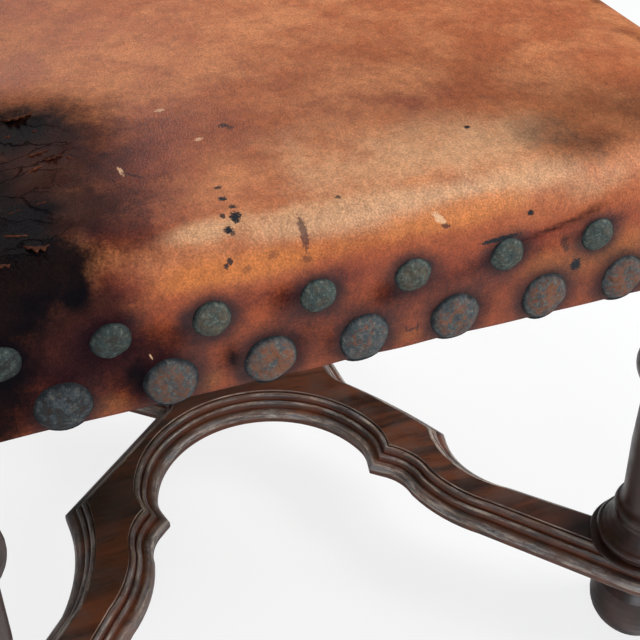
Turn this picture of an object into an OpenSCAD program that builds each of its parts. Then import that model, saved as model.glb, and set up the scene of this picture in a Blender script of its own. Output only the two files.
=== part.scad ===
// Leather covered open armchair in walnut, with a flat moulded stretcher and turned legs.
// The front faces -Y and the feet stand on Z = 0. All sizes are in millimetres.

/* [Seat] */
// Width of the seat over its leather
seat_w = 644; // [600:1:700]
// Depth of the seat over its leather
seat_d = 554; // [530:1:600]
// Height of the leather's lower edge above the floor
seat_edge_z = 353; // [330:1:380]
// Height of the seat rails
rail_h = 55; // [50:1:60]
// Thickness of the seat rails
rail_t = 28; // [24:1:32]
// Length of the tenon at each end of a rail
tenon_l = 22; // [16:1:23]
// Height of the tenon of a seat rail
tenon_h = 38; // [28:1:44]
// Thickness of every flat tenon
tenon_t = 10; // [8:1:12]
// Rise of the cushion from the top of its rolled edge to its middle
crown = 17; // [8:1:26]
// Radius of the cushion's rolled edge
roll_r = 26; // [18:1:30]
// Thickness of the leather
leather_t = 2.4; // [1.6:0.1:3.2]

/* [Legs] */
// Distance of a leg's axis inside the two leather faces beside it
leg_inset = 29.5; // [28:0.5:34]
// Width of the square block at the top of a leg
block_w = 54; // [50:1:56]
// How far the block reaches below the leather
block_drop = 15; // [8:1:24]
// Height of the bun feet
foot_h = 64; // [50:1:80]
// Radius of the bun feet at their widest
foot_r = 36; // [32:1:40]
// Radius of the turned disc that stands on the stretcher
disc_r = 44; // [42:0.5:47]
// Radius of the plain column of a leg
column_r = 25; // [22:0.5:28]
// Radius of the knop above the column
knop_r = 33.6; // [30:0.2:37]
// Radius of the spigot that joins leg, stretcher and foot
spigot_r = 12.5; // [10:0.5:15]
// Depth of the spigot's socket in a foot
socket_l = 36; // [28:1:42]

/* [Stretcher] */
// Thickness of the stretcher
stretcher_t = 22; // [18:1:26]
// How far the moulding stands out from the flat top
moulding_w = 18; // [15:0.5:19]
// Radius of the arch, at the edge of the flat top
arch_r = 109.5; // [103:0.5:114]
// Distance of the arch's centre inside the side of the seat
arch_in = 198; // [190:1:204]
// Width of the flat band between the arch and the outer edge at the cusps
cusp_w = 38; // [34:1:42]
// Distance from the middle of the chair forward to the bridge's front edge
bridge_front = 92.5; // [84:0.5:100]
// Distance from the middle of the chair back to the bridge's rear notch
bridge_rear = 59; // [50:1:68]
// Radius of the round end under a leg
pad_r = 24; // [22.5:0.5:26]

/* [Nails] */
// Radius of a large nail's head
large_head_r = 14.6; // [12:0.2:16]
// Radius of a small nail's head
small_head_r = 10.4; // [8:0.2:12]
// Height of the large nails above the leather's lower edge
large_row = 13.5; // [13:0.5:18]
// Height of the small nails above the leather's lower edge
small_row = 47.5; // [44:0.5:50]
// Spacing of the nails along a row
pitch = 55; // [48:1:60]

/* [Arms] */
// Height of the top of the arm over its front post
arm_z = 668; // [640:1:700]
// How far the arm's middle, where it joins the rear post, lies above the top at its front
arm_rise = 32; // [12:1:50]
// Width of an arm
arm_w = 50; // [44:1:56]
// Thickness of an arm
arm_t = 30; // [26:1:34]
// Radius of the scroll at the front of an arm
scroll_r = 24; // [22:1:25]
// How far the scroll's centre lies in front of the post
scroll_out = 48; // [48:1:60]
// Radius of the round tenon at the top of an arm post
arm_tenon_r = 9; // [7:0.5:11]

/* [Back] */
// Length of the raked posts above the blocks
post_l = 618; // [560:1:660]
// Lean of the back in degrees
rake = 8.5; // [5:0.5:12]
// Width of a back post, seen from the front
post_w = 46; // [42:1:50]
// Depth of a back post, seen from the side
post_d = 36; // [32:1:40]
// Height of the back's lower rail above the blocks
back_low = 92; // [80:1:110]
// Height of the two back rails
back_rail_h = 52; // [44:1:60]
// Thickness of the two back rails
back_rail_t = 26; // [22:1:28]
// How far the back pad stands out at its middle
back_crown = 26; // [18:1:34]

/* [Hidden] */
$fn = 48;

wood = "#5b3420";
hide = "#a5653a";
iron = "#4e5a58";
jute = "#9c8560";

fit = 0.2;          // clearance of a tenon in its mortise, and of a dowel or peg in its hole
soft_gap = 0.3;     // clearance of a padded piece from what it lies on
skin = leather_t + soft_gap;
stretcher_z = foot_h + stretcher_t;
block_z = seat_edge_z - block_drop;
rail_z = seat_edge_z + 1;
rail_top = rail_z + rail_h;
layer_gap = 0.1;    // clearance between a layer of cloth and what it lies on
web_t = 1.2;
web_wave = 0.62 * web_t;                    // strips rise and fall by this where they cross
web_rise = web_wave + web_t / 2;
web_z = rail_top + layer_gap + web_rise;
hessian_t = 0.8;
hessian_z = web_z + web_rise + layer_gap;
pad_z = hessian_z + hessian_t + soft_gap;
edge_h = pad_z + 1 - seat_edge_z;           // straight part of the leather's side
block_top = seat_edge_z + edge_h + roll_r;
half_w = seat_w / 2;
half_d = seat_d / 2;
leg_x = half_w - leg_inset;
leg_y = half_d - leg_inset;
rail_in = skin;                             // outer face of a rail behind the leather face
notch = leg_inset + block_w / 2 + soft_gap; // side of the square notch in the leather
rail_mid = rail_in + rail_t / 2;
tenon_off = leg_inset - rail_mid;
nail_h_large = 5;
nail_h_small = 4;
nail_shank_r = 1.5;
nail_shank_l = 15;
shank_hole_r = nail_shank_r + 0.05;

// The chair is drawn round the middle of its seat and set back by this much,
// so that the origin lies under the middle of its whole depth.
post_y = leg_y;
scroll_y = -leg_y - scroll_out;
reach_front = scroll_y - scroll_r;
reach_rear = post_y + post_l * sin(rake) + (post_d / 2 + soft_gap + leather_t) * cos(rake);
y_shift = -(reach_front + reach_rear) / 2;

module placed() { translate([0, y_shift, 0]) children(); }
module mirrored() { mirror([1, 0, 0]) children(); }
module four_legs() {
    for (sx = [-1, 1], sy = [-1, 1]) translate([sx * leg_x, sy * leg_y, 0]) children();
}

// An outline is a list of [x, y, bulge]: the side from a point to the next is an arc whose
// bulge is the tangent of a quarter of its angle, positive when it turns left.
function arc_side(a, b, bulge) =
    let (sweep = 4 * atan(bulge), d = [b.x - a.x, b.y - a.y], chord = norm(d),
         r = chord / 2 / sin(sweep / 2),
         m = [(a.x + b.x) / 2, (a.y + b.y) / 2],
         c = m + [-d.y, d.x] / chord * r * cos(sweep / 2),
         start = atan2(a.y - c.y, a.x - c.x),
         n = max(2, ceil(abs(sweep) / 11)))
    [for (i = [0 : n - 1]) c + abs(r) * [cos(start + sweep * i / n), sin(start + sweep * i / n)]];
function side(a, b) = a[2] == undef || a[2] == 0 ? [[a.x, a.y]] : arc_side(a, b, a[2]);
function rounded(p) = [for (i = [0 : len(p) - 1]) each side(p[i], p[(i + 1) % len(p)])];
function open_path(p) = [for (i = [0 : len(p) - 2]) each side(p[i], p[i + 1])];

// Stretcher. The flat top is drawn in a side frame: u runs forward from the middle of the
// chair and v inward from the side of the seat. Each half ends on the chair's centre plane.
spring = 14.4;              // the arch turns back by this past its springing, down to the cusp
cusp_u = arch_r * cos(spring);
spring_v = arch_in + arch_r * sin(spring);
far_u = cusp_u + cusp_w;
far_v = arch_in + 8;        // the front far cusp; the rear one was sawn further in
far_rear_v = arch_in + 23;
notch_r = 22;
arm_near = [-94, 78.7];     // where the arm's near edge stops being straight, from the leg
arm_far = [-76, 86];        // the same on the far edge
throat = [-28, 32.5];       // where the far edge leaves the round end
pad_from = -140.4;          // the round end runs between these two directions
pad_to = 103.3;
pad_tip = pad_r * [cos((pad_from + pad_to) / 2), sin((pad_from + pad_to) / 2)];
pad_far = pad_r * [cos(pad_to), sin(pad_to)];
pad_near = pad_r * [cos(pad_from), sin(pad_from)];
pad_bulge = tan((pad_to - pad_from) / 8);
cove = [cusp_u + 20, arch_in - 40];
function leg_at(d) = [leg_y + d.x, leg_inset + d.y];
function with_bulge(p, b) = [p.x, p.y, b];
function to_rear(p) = [-p.x, p.y];
rear_turn = 42;
bridge_flare = [2.8, 28.4]; // the bridge's front edge widens by this, this far from the middle
bridge_square = 17;         // half length of the bridge's straight front edge
rear_fillet = [-bridge_rear - notch_r * (1 - cos(rear_turn)), half_w - notch_r * sin(rear_turn)];
far_side = [
    with_bulge(leg_at(pad_tip), pad_bulge),
    with_bulge(leg_at(pad_far), -0.281),
    with_bulge(leg_at(throat), 0),
    with_bulge(leg_at(arm_far), -0.29),
    [far_u, far_v, 0.05],
    [bridge_front + bridge_flare.x, half_w - bridge_flare.y, -0.118],
    [bridge_front, half_w - bridge_square, 0],
    [bridge_front, half_w, 0],
    [-bridge_rear, half_w, -tan(rear_turn / 4)],
    with_bulge(rear_fillet, 0),
    [-far_u, far_rear_v, -0.16],
    with_bulge(to_rear(leg_at(arm_far)), 0),
    with_bulge(to_rear(leg_at(throat)), -0.281),
    with_bulge(to_rear(leg_at(pad_far)), pad_bulge),
    to_rear(leg_at(pad_tip))];
near_side = [
    with_bulge(to_rear(leg_at(pad_tip)), pad_bulge),
    with_bulge(to_rear(leg_at(pad_near)), 0),
    with_bulge(to_rear(leg_at(arm_near)), 0.14),
    with_bulge(to_rear(cove), -0.215),
    [-cusp_u, arch_in, -tan(spring / 2)],
    [-cusp_u, spring_v, -tan(45 - spring / 2)],
    [cusp_u, spring_v, -tan(spring / 2)],
    [cusp_u, arch_in, -0.215],
    with_bulge(cove, 0.14),
    with_bulge(leg_at(arm_near), 0),
    with_bulge(leg_at(pad_near), pad_bulge),
    leg_at(pad_tip)];

// Moulding, as [share of the width outward, share of the thickness down]: two reeds with
// quirks between them, an ovolo and a square band.
drawn = [18, 22];           // width and thickness the moulding was drawn at
function share(x, y) = [x / drawn.x, y / drawn.y];
function reed(x, y, r) = [for (a = [150 : -47 : 9]) share(x + r * cos(a), y - r * sin(a))];
function ovolo(x0, y0, x1, y1) =
    [for (a = [90 : -30 : 0]) share(x0 + (x1 - x0) * cos(a), y1 - (y1 - y0) * sin(a))];
moulding = concat([[0, 0], share(0.2, 0.9)], reed(2.3, 4.4, 2.4), [share(4.9, 6.6)],
    reed(7, 9.6, 2.4), [share(9.7, 11.6)], ovolo(10.3, 12.1, drawn.x, 17.6),
    [share(drawn.x, 21), share(17.1, drawn.y)]);

// Outward normal of each side, and the step that keeps a corner mitred when the sides move
// out. A side on the centre plane doesn't move.
function on_plane(a, b) = abs(a.y - half_w) < 0.01 && abs(b.y - half_w) < 0.01;
function normals(p) = [for (i = [0 : len(p) - 1])
    let (a = p[i], b = p[(i + 1) % len(p)], d = b - a)
    on_plane(a, b) ? [0, 0] : [d.y, -d.x] / norm(d)];
function corner_step(m, n) =
    norm(m) == 0 ? [1 / n.x, 0] : norm(n) == 0 ? [1 / m.x, 0] : (m + n) / (1 + m * n);
// The flat faces are zipped from the near side to the far side, always by the shorter
// step. Each side is a run of points in the ring q; the near one starts after the far one.
function zipped(q, far_n, i = 0, j = 0) =
    let (n = len(q), near_n = n - far_n, a = far_n + i, b = far_n - 1 - j)
    i == near_n - 1 && j == far_n - 1 ? [] :
    let (near_step = i == near_n - 1 ? 1e9 : norm(q[a + 1] - q[b]),
         far_step = j == far_n - 1 ? 1e9 : norm(q[a] - q[b - 1]))
    near_step < far_step ? concat([[a, a + 1, b]], zipped(q, far_n, i + 1, j))
        : concat([[a, b - 1, b]], zipped(q, far_n, i, j + 1));
// The side on the centre plane starts at point m. Its moulded ends are fanned from two
// points on its bottom edge, each a little inside an end of the flat top.
fan_in = 3;
function moulded_skin(far, near, profile, w, t) =
    let (p = concat(far, near), n = len(p), k = len(profile), normal = normals(p),
         step = [for (i = [0 : n - 1]) corner_step(normal[(i + n - 1) % n], normal[i])],
         m = [for (i = [0 : n - 2]) if (on_plane(p[i], p[i + 1])) i][0],
         inset = [-fan_in, 0],
         points = concat(
            [for (q = profile, i = [0 : n - 1]) concat(p[i] + step[i] * q.x * w, -q.y * t)],
            [concat(p[m] + inset, -t), concat(p[m + 1] - inset, -t)]),
         fan_a = k * n, fan_b = k * n + 1,
         bottom = [for (i = [0 : n - 1], v = i == m ? [-1, fan_a, fan_b] : [-1])
            v < 0 ? (k - 1) * n + i : v])
    [points,
     concat([for (f = zipped(p, len(far))) [f[0], f[2], f[1]]],
        [for (j = [0 : k - 2], i = [0 : n - 1], half = [0, 1])
            let (a = j * n + i, b = j * n + (i + 1) % n, c = a + n, d = b + n)
            i == m ? (half == 0 ? [a, fan_a, c] : [fan_b, b, d]) : (half == 0 ? [a, b, d] : [a, d, c])],
        [[m, m + 1, fan_b], [m, fan_b, fan_a]],
        [for (f = zipped([for (v = bottom) [points[v].x, points[v].y]], len(far) + 2))
            [for (v = f) bottom[v]]])];

module stretcher_half() {
    form = moulded_skin(open_path(far_side), open_path(near_side), moulding, moulding_w,
        stretcher_t);
    difference() {
        translate([-half_w, 0, stretcher_z]) rotate([0, 0, -90]) polyhedron(form[0], form[1]);
        for (s = [-1, 1]) translate([-leg_x, s * leg_y, foot_h - 1])
            cylinder(r = spigot_r + fit, h = stretcher_t + 2);
        dowel_set(dowel_r + fit, dowel_l / 2 + 1);
    }
}
dowel_r = 5;
dowel_l = 64;
dowel_u = [60, 16, -26];
module dowel_set(r, half_l) {
    for (u = dowel_u) translate([0, -u, foot_h + stretcher_t / 2]) rotate([0, 90, 0])
        cylinder(r = r, h = 2 * half_l, center = true);
}
module stretcher_left() { color(wood) placed() stretcher_half(); }
module stretcher_right() { color(wood) placed() mirrored() stretcher_half(); }
module stretcher_dowels() { color(wood) placed() dowel_set(dowel_r, dowel_l / 2); }

// Bun foot, turned, with a socket for the leg's spigot.
drawn_foot_r = 36;
foot_outline = [[0, 0, 0], [23, 0, 0], [26, 2, 0.42], [24, foot_h - 12, -0.3], [24, foot_h - 7, 0],
    [31, foot_h - 6, 0.6], [31, foot_h, 0], [0, foot_h, 0]];
module bun_feet() {
    outline = [for (p = foot_outline) [p.x * foot_r / drawn_foot_r, p.y, p[2]]];
    color(wood) placed() four_legs() difference() {
        rotate_extrude() polygon(rounded(outline));
        translate([0, 0, foot_h - socket_l]) cylinder(r = spigot_r + fit, h = socket_l + 1);
    }
}

// Leg, turned from the spigot up to the square block: disc, cushion, ring, long column,
// knop and vase. Heights count from the top of the stretcher.
turned_h = block_z - stretcher_z;
column_top = turned_h - 112;
spigot_l = stretcher_t + socket_l - 2;
disc_h = 4;
knop_neck_r = 24.6;
knop_h = 32;
leg_outline = [[0, -spigot_l, 0], [spigot_r - 1, -spigot_l, 0], [spigot_r, 1 - spigot_l, 0],
    [spigot_r, 0, 0], [disc_r - 1, 0, 0], [disc_r, 1, 0], [disc_r, disc_h - 1, 0],
    [disc_r - 1, disc_h, 0], [disc_r - 6, disc_h + 0.4, 0], [disc_r - 6.5, disc_h + 2.5, 0],
    [disc_r - 5.5, disc_h + 2.6, 0.5], [disc_r - 6.5, disc_h + 8.4, 0],
    [disc_r - 8, disc_h + 9, -0.12], [27.5, 24, 0], [27.5, 27, 0],
    [28, 27.6, 0.4], [28, 37.4, 0], [27, 38, -0.24],
    [column_r, 44, 0.02], [column_r, column_top, 0.02], [column_r - 2.5, column_top + 2, -0.25],
    [column_r - 2, column_top + 9, 0],
    [knop_neck_r, column_top + 10, 2 * (knop_r - knop_neck_r) / knop_h],
    [knop_neck_r, column_top + 10 + knop_h, 0], [22.5, column_top + 43, -0.25],
    [21.5, column_top + 48, 0], [26, column_top + 49, 0.6], [26, column_top + 55, 0],
    [20, column_top + 56, -0.2], [23, column_top + 73, 0.3], [28, column_top + 94, 0.3],
    [23, column_top + 100, 0], [28.5, column_top + 101, 0.5], [28.5, column_top + 107, 0],
    [25, column_top + 108, -0.2], [26.5, turned_h, 0], [0, turned_h, 0]];
module leg_turning() {
    translate([0, 0, stretcher_z]) rotate_extrude() polygon(rounded(leg_outline));
}
module leg_block() {
    translate([-block_w / 2, -block_w / 2, block_z]) cube([block_w, block_w, block_top - block_z]);
}
// Mortises of the two rails that meet in the rear left leg's block, and the holes of their
// pegs. The other three legs are mirror images.
mortise_h = tenon_h + 2 * fit;
peg_r = 3;
peg_l = 30;
peg_z = rail_z + rail_h / 2;
peg_in = block_w / 2 - tenon_l / 2;
module block_cuts() {
    translate([-tenon_off - tenon_t / 2 - fit, -block_w / 2 - 1, peg_z - mortise_h / 2])
        cube([tenon_t + 2 * fit, tenon_l + 2, mortise_h]);
    translate([block_w / 2 - tenon_l - 1, tenon_off - tenon_t / 2 - fit, peg_z - mortise_h / 2])
        cube([tenon_l + 2, tenon_t + 2 * fit, mortise_h]);
    peg_holes(peg_r + fit / 4, peg_l + 0.5);
}
module peg_holes(r, l) {
    translate([-block_w / 2 - 1, -peg_in, peg_z]) rotate([0, 90, 0]) cylinder(r = r, h = l + 1);
    translate([peg_in, block_w / 2 + 1, peg_z]) rotate([90, 0, 0]) cylinder(r = r, h = l + 1);
}
module at_leg(sx, sy) {
    translate([sx * leg_x, sy * leg_y, 0]) scale([-sx, sy, 1]) children();
}

// Front leg: the block carries on into a turned arm post.
post_h = arm_z - arm_t - block_top;
post_tenon_l = arm_t * 0.6;
post_outline = [[0, -2, 0], [25, -2, 0], [25, 2, 0], [24, 3, 0.55], [24, 11, 0], [19, 12, -0.2],
    [17, 20, -0.1], [25.5, 58, 0.3], [20, 88, 0.1], [15.5, post_h - 44, -0.2],
    [15.5, post_h - 36, 0], [20, post_h - 35, 0.6], [20, post_h - 29, 0],
    [15, post_h - 28, -0.3], [18, post_h - 14, 0], [21, post_h - 10, 0.5], [21, post_h - 3, 0],
    [19, post_h, 0], [arm_tenon_r, post_h, 0], [arm_tenon_r, post_h + post_tenon_l - 1, 0],
    [arm_tenon_r - 1, post_h + post_tenon_l, 0], [0, post_h + post_tenon_l, 0]];
module front_leg(sx) {
    at_leg(sx, -1) difference() {
        union() {
            leg_turning();
            leg_block();
            translate([0, 0, block_top]) rotate_extrude() polygon(rounded(post_outline));
        }
        block_cuts();
    }
}
module front_leg_left() { color(wood) placed() front_leg(-1); }
module front_leg_right() { color(wood) placed() front_leg(1); }

// Back frame: everything in it leans back about the top of the rear blocks. Its z runs up
// along the posts, and its y runs out of the back's rear face.
module leaning() { translate([0, post_y, block_top]) rotate([-rake, 0, 0]) children(); }
post_head = 3;
arm_rear_z = arm_z + arm_rise;
arm_join_y = post_y + (arm_rear_z - block_top) * tan(rake) - post_d / 2 / cos(rake);
arm_tenon = [12, 28, 16];   // width, length with the part inside the arm, and height
arm_tenon_in = 12;          // the part inside the arm
module arm_tenon(grow) {
    g = [grow, grow, grow];
    translate([-leg_x, arm_join_y, arm_rear_z]) rotate([-rake, 0, 0])
        translate([-arm_tenon.x / 2, -arm_tenon_in, -arm_tenon.z / 2] - g) cube(arm_tenon + 2 * g);
}
back_rail_mid = (back_rail_t - post_d) / 2; // rails lie flush with the posts' front
back_top_z = post_l - post_head - back_rail_h;
back_tenon_in = 12;         // from the post's axis to the end of a rail's tenon
shoulder = 8;               // a rail's tenon is this much shorter than the rail, above and below
module back_tenons(grow) {
    for (z = [back_low, back_top_z])
        translate([back_tenon_in - leg_x - grow, back_rail_mid - tenon_t / 2 - grow, z + shoulder - grow])
            cube([2 * (leg_x - back_tenon_in + grow), tenon_t + 2 * grow,
                back_rail_h - 2 * (shoulder - grow)]);
}
// The back's leathers reach from the lower edge of the lower rail to just below the posts' tops.
back_half_w = leg_x + post_w / 2 - 2;
back_half_h = (post_l - 2 - back_low) / 2;
back_mid = back_low + back_half_h;
module on_back_front(gap) {
    leaning() translate([0, -post_d / 2 - gap, back_mid]) rotate([90, 0, 0]) children();
}
module on_back_rear(gap) {
    leaning() translate([0, post_d / 2 + gap, back_mid]) rotate([-90, 0, 0]) children();
}
// Nails run round the edge of the back, over the posts and the two rails. On the posts they
// run from the corners to a nail just below and one just above the arm.
back_in = 15;
arm_up = (arm_rear_z - block_top) * cos(rake) + (arm_join_y - post_y) * sin(rake) - back_mid;
nail_off_arm = 3;           // from an arm to the heads of the nails beside it
arm_clear = arm_t / 2 + small_head_r + nail_off_arm;
function steps_between(a, b) = max(1, round((b - a) / pitch));
module back_nail_places() {
    w = back_half_w - back_in;
    h = back_half_h - back_in;
    nx = floor(2 * w / pitch);
    low = steps_between(-h, arm_up - arm_clear);
    high = steps_between(arm_up + arm_clear, h);
    for (s = [-1, 1]) {
        for (i = [0 : nx]) translate([w * (2 * i / nx - 1), s * h, 0]) children();
        for (j = [1 : low]) translate([s * w, -h + (arm_up - arm_clear + h) * j / low, 0])
            children();
        for (j = [1 : high]) translate([s * w, h - (h - arm_up - arm_clear) * j / high, 0])
            children();
    }
}
back_shank_l = 15;
outside_shank_l = 9;
module back_nail_holes() {
    on_back_front(0) back_nail_places() translate([0, 0, -back_shank_l])
        cylinder(r = shank_hole_r, h = back_shank_l + 1);
    on_back_rear(0) back_nail_places() translate([0, 0, -outside_shank_l])
        cylinder(r = shank_hole_r, h = outside_shank_l + 1);
}
module back_post() {
    outline = [[-post_d / 2, -8], [post_d / 2, -8], [post_d / 2, post_l - 4],
        [post_d / 2 - 4, post_l], [4 - post_d / 2, post_l], [-post_d / 2, post_l - 4]];
    translate([-post_w / 2, 0, 0]) rotate([90, 0, 90]) linear_extrude(post_w) polygon(outline);
}
module rear_leg() {
    difference() {
        union() {
            translate([-leg_x, leg_y, 0]) {
                leg_turning();
                leg_block();
            }
            leaning() translate([-leg_x, 0, 0]) back_post();
        }
        translate([-leg_x, leg_y, 0]) block_cuts();
        leaning() back_tenons(fit);
        back_nail_holes();
        arm_tenon(fit);
    }
}
module rear_leg_left() { color(wood) placed() rear_leg(); }
module rear_leg_right() { color(wood) placed() mirrored() rear_leg(); }

// Seat rails, tenoned into the blocks and pegged. The nails' holes go into their outer faces.
side_rail_l = 2 * leg_y - block_w;
cross_rail_l = 2 * leg_x - block_w;
large_strays = [0, 1.3, 1, 0, -0.8, 1.7, -1.2];     // by how much each nail was set off its place
small_strays = [0, -0.7, -3.5, -0.4, -1, 1, 3.4];
first_large = notch + large_head_r + 32.6 - half_d;
first_small = notch + small_head_r + 10.3 - half_d;
side_large = [for (i = [0 : 6]) first_large + pitch * i + large_strays[i]];
side_small = [for (i = [0 : 6]) first_small + pitch * i + small_strays[i]];
last_large = half_d - notch - large_head_r - 4;
last_small = half_d - notch - small_head_r - 22;
large_u = concat(side_large, [last_large]);
small_u = concat(side_small, [last_small]);
cross_n = floor((cross_rail_l - 2 * large_head_r - 8) / pitch);
cross_large = [for (i = [0 : cross_n]) (i - cross_n / 2) * pitch];
cross_small = [for (i = [0 : cross_n - 1]) (i - (cross_n - 1) / 2) * pitch];

module rail(length, places_large, places_small) {
    difference() {
        union() {
            translate([-length / 2, rail_in, rail_z]) cube([length, rail_t, rail_h]);
            translate([-length / 2 - tenon_l, rail_mid - tenon_t / 2, peg_z - tenon_h / 2])
                cube([length + 2 * tenon_l, tenon_t, tenon_h]);
        }
        nail_places(places_large, places_small) rotate([-90, 0, 0])
            cylinder(r = shank_hole_r, h = nail_shank_l + 0.5);
        for (s = [-1, 1]) translate([s * (length / 2 + tenon_l / 2), 0, peg_z]) rotate([-90, 0, 0])
            cylinder(r = peg_r + fit / 4, h = 60);
        for (s = [-1, 1], z = screw_z)
            translate([s * (length / 2 + brace_inner - screw_x), rail_in + rail_t, rail_z + z])
                rotate([-90, 0, 0]) cylinder(r = screw_r + 0.05, h = 2 * (screw_in + 0.5), center = true);
    }
}
// Rails are drawn with their outer face to -Y, the leather's face at y = 0.
module nail_places(places_large, places_small) {
    for (x = places_large) translate([x, 0, seat_edge_z + large_row]) children();
    for (x = places_small) translate([x, 0, seat_edge_z + small_row]) children();
}
module on_front() { translate([0, -half_d, 0]) children(); }
module on_rear() { mirror([0, 1, 0]) on_front() children(); }
module on_left() { translate([-half_w, 0, 0]) rotate([0, 0, -90]) children(); }
module on_right() { mirrored() on_left() children(); }
module cross_rail() { rail(cross_rail_l, cross_large, cross_small); }
module side_rail() { rail(side_rail_l, large_u, small_u); }
module front_seat_rail() { color(wood) placed() on_front() cross_rail(); }
module rear_seat_rail() { color(wood) placed() on_rear() cross_rail(); }
module left_seat_rail() { color(wood) placed() on_left() side_rail(); }
module right_seat_rail() { color(wood) placed() on_right() side_rail(); }
module tenon_pegs() {
    color(wood) placed() for (sx = [-1, 1], sy = [-1, 1]) at_leg(sx, sy)
        intersection() {
            peg_holes(peg_r, peg_l);
            translate([-block_w / 2 - 0.6, -block_w / 2, block_z])
                cube([block_w + 0.6, block_w + 0.6, block_top - block_z]);
        }
}

// Corner blocks, glued across the inside of the frame and screwed to the rails. They are
// drawn from the corner between two rails, with x and y running inward along the rails.
brace = 62;
brace_h = 40;
brace_inner = leg_inset + block_w / 2 - rail_in - rail_t;
screw_r = 2;
screw_head = 1.6;
screw_in = 12;              // how far a screw reaches into the rail
screw_x = brace * 0.62;
screw_top = brace * 0.38 - 6;
screw_z = [16, 36];
module in_corner() {
    inside = rail_in + rail_t;
    for (sx = [-1, 1], sy = [-1, 1]) translate([sx * (half_w - inside), sy * (half_d - inside), 0])
        scale([-sx, -sy, 1]) children();
}
module corner_blocks() {
    inner = brace_inner + fit;
    color("#a98358") placed() in_corner() difference() {
        translate([0, 0, rail_z + 6]) linear_extrude(brace_h)
            polygon([[fit, inner], [inner, inner], [inner, fit], [brace, fit], [fit, brace]]);
        brace_screws(0.05, 2 * screw_r);
    }
}
module brace_screws(grow, above) {
    for (z = screw_z, swap = [0, 1]) mirror(swap * [1, -1, 0])
        translate([screw_x, -screw_in - grow, rail_z + z]) rotate([-90, 0, 0]) {
            cylinder(r = screw_r + grow, h = screw_in + screw_top);
            translate([0, 0, screw_in + screw_top])
                cylinder(r = 2 * screw_r + grow, h = screw_head + 3 * above);
        }
}
module corner_block_screws() { color("#8a8578") placed() in_corner() brace_screws(0, 0); }

// Layers on top of the rails. The leather's straight side ends just above them.
// Webbing: strips that pass over and under each other, tacked on top of the frame.
web_w = 50;
web_flat = 0.42;            // share of its width over which a strip lies flat on each side
function wave(places, half_l, first) = concat([[-half_l, -web_wave]],
    [for (i = [0 : len(places) - 1], e = [-1, 1])
        [places[i] + e * web_flat * web_w, (i + first) % 2 == 0 ? web_wave : -web_wave]],
    [[half_l, -web_wave]]);
module strip(places, half_l, first) {
    line = wave(places, half_l, first);
    up = [for (p = line) [p.x, p.y + web_t / 2]];
    down = [for (i = [len(line) - 1 : -1 : 0]) [line[i].x, line[i].y - web_t / 2]];
    rotate([90, 0, 0]) linear_extrude(web_w, center = true) polygon(concat(up, down));
}
web_gap_x = 68;
web_gap_y = 76;
web_x = [for (i = [-3 : 3]) i * web_gap_x];
web_y = [for (i = [-2 : 2]) i * web_gap_y];
module web(xs, ys, half_x, half_y) {
    for (i = [0 : len(ys) - 1]) translate([0, ys[i], 0]) strip(xs, half_x, i);
    for (i = [0 : len(xs) - 1]) translate([xs[i], 0, 0]) rotate([0, 0, 90]) strip(ys, half_y, i + 1);
}
module seat_webbing() {
    color(jute) placed() translate([0, 0, web_z])
        web(web_x, web_y, half_w - rail_mid + 6, half_d - rail_mid + 6);
}
module seat_hessian() {
    color(jute) placed() translate([0, 0, hessian_z]) linear_extrude(hessian_t)
        notched(half_w - rail_in - 4, half_d - rail_in - 4, notch);
}
module notched(x, y, n) {
    difference() {
        square([2 * x, 2 * y], center = true);
        for (sx = [-1, 1], sy = [-1, 1]) translate([sx * half_w, sy * half_d])
            square(2 * n, center = true);
    }
}

// Padding and leather. A padded form is a stack of rings, each a rectangle with rounded
// corners: [inset from the edge, height, scale about the middle]. It climbs the straight
// side, rolls over its edge and then rises gently to a point in the middle.
roll_steps = 4;
crown_steps = 4;
function roll_rings(straight, roll) = concat([[0, 0, 1]], [for (i = [0 : roll_steps])
    [roll * (1 - cos(90 * i / roll_steps)), straight + roll * sin(90 * i / roll_steps), 1]]);
function crown_rings(inset, z, rise) = [for (i = [1 : crown_steps]) let (s = i / crown_steps)
    [inset, z + rise * (1 - cos(180 * s)) / 2, 1 - s]];
function cushion_rings(straight, roll, rise) =
    concat(roll_rings(straight, roll), crown_rings(roll, straight + roll, rise));
corner_arc = [0 : 30 : 90];
side_steps = 7;
ring_n = 4 * (4 + side_steps);
function corner_mid(h, q) = [(q == 0 || q == 3 ? 1 : -1) * h.x, (q < 2 ? 1 : -1) * h.y];
function ring(hx, hy, rc, z) = [for (q = [0 : 3])
    let (h = [hx - rc, hy - rc], c = corner_mid(h, q), turn = rc * [cos(90 * q + 90), sin(90 * q + 90)],
         last = c + turn,
         next = corner_mid(h, (q + 1) % 4) + turn)
    each concat(
        [for (a = corner_arc) concat(c + rc * [cos(90 * q + a), sin(90 * q + a)], z)],
        [for (i = [1 : side_steps]) concat(last + (next - last) * i / (side_steps + 1), z)])];
function ring_points(hx, hy, rc, z0, rings) = concat(
    [for (i = [0 : len(rings) - 2]) let (g = rings[i])
        each ring((hx - g.x) * g.z, (hy - g.x) * g.z, max(2, rc - g.x / 2) * g.z, z0 + g.y)],
    [[0, 0, z0 + rings[len(rings) - 1].y]]);
function ring_faces(k, start, flip) = let (n = ring_n)
    [for (j = [0 : k - 2], i = [0 : n - 1], half = [0, 1])
        let (a = start + j * n + i, b = start + j * n + (i + 1) % n, c = a + n, d = b + n,
             f = half == 0 ? [a, d, b] : [a, c, d]) flip ? [f[0], f[2], f[1]] : f];
function cap_faces(k, start, flip) = let (n = ring_n, tip = start + k * n)
    [for (i = [0 : n - 1])
        let (a = start + (k - 1) * n + i, b = start + (k - 1) * n + (i + 1) % n)
        flip ? [a, b, tip] : [b, a, tip]];
function skin_faces(k, start, flip) = concat(ring_faces(k, start, flip), cap_faces(k, start, flip));
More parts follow.
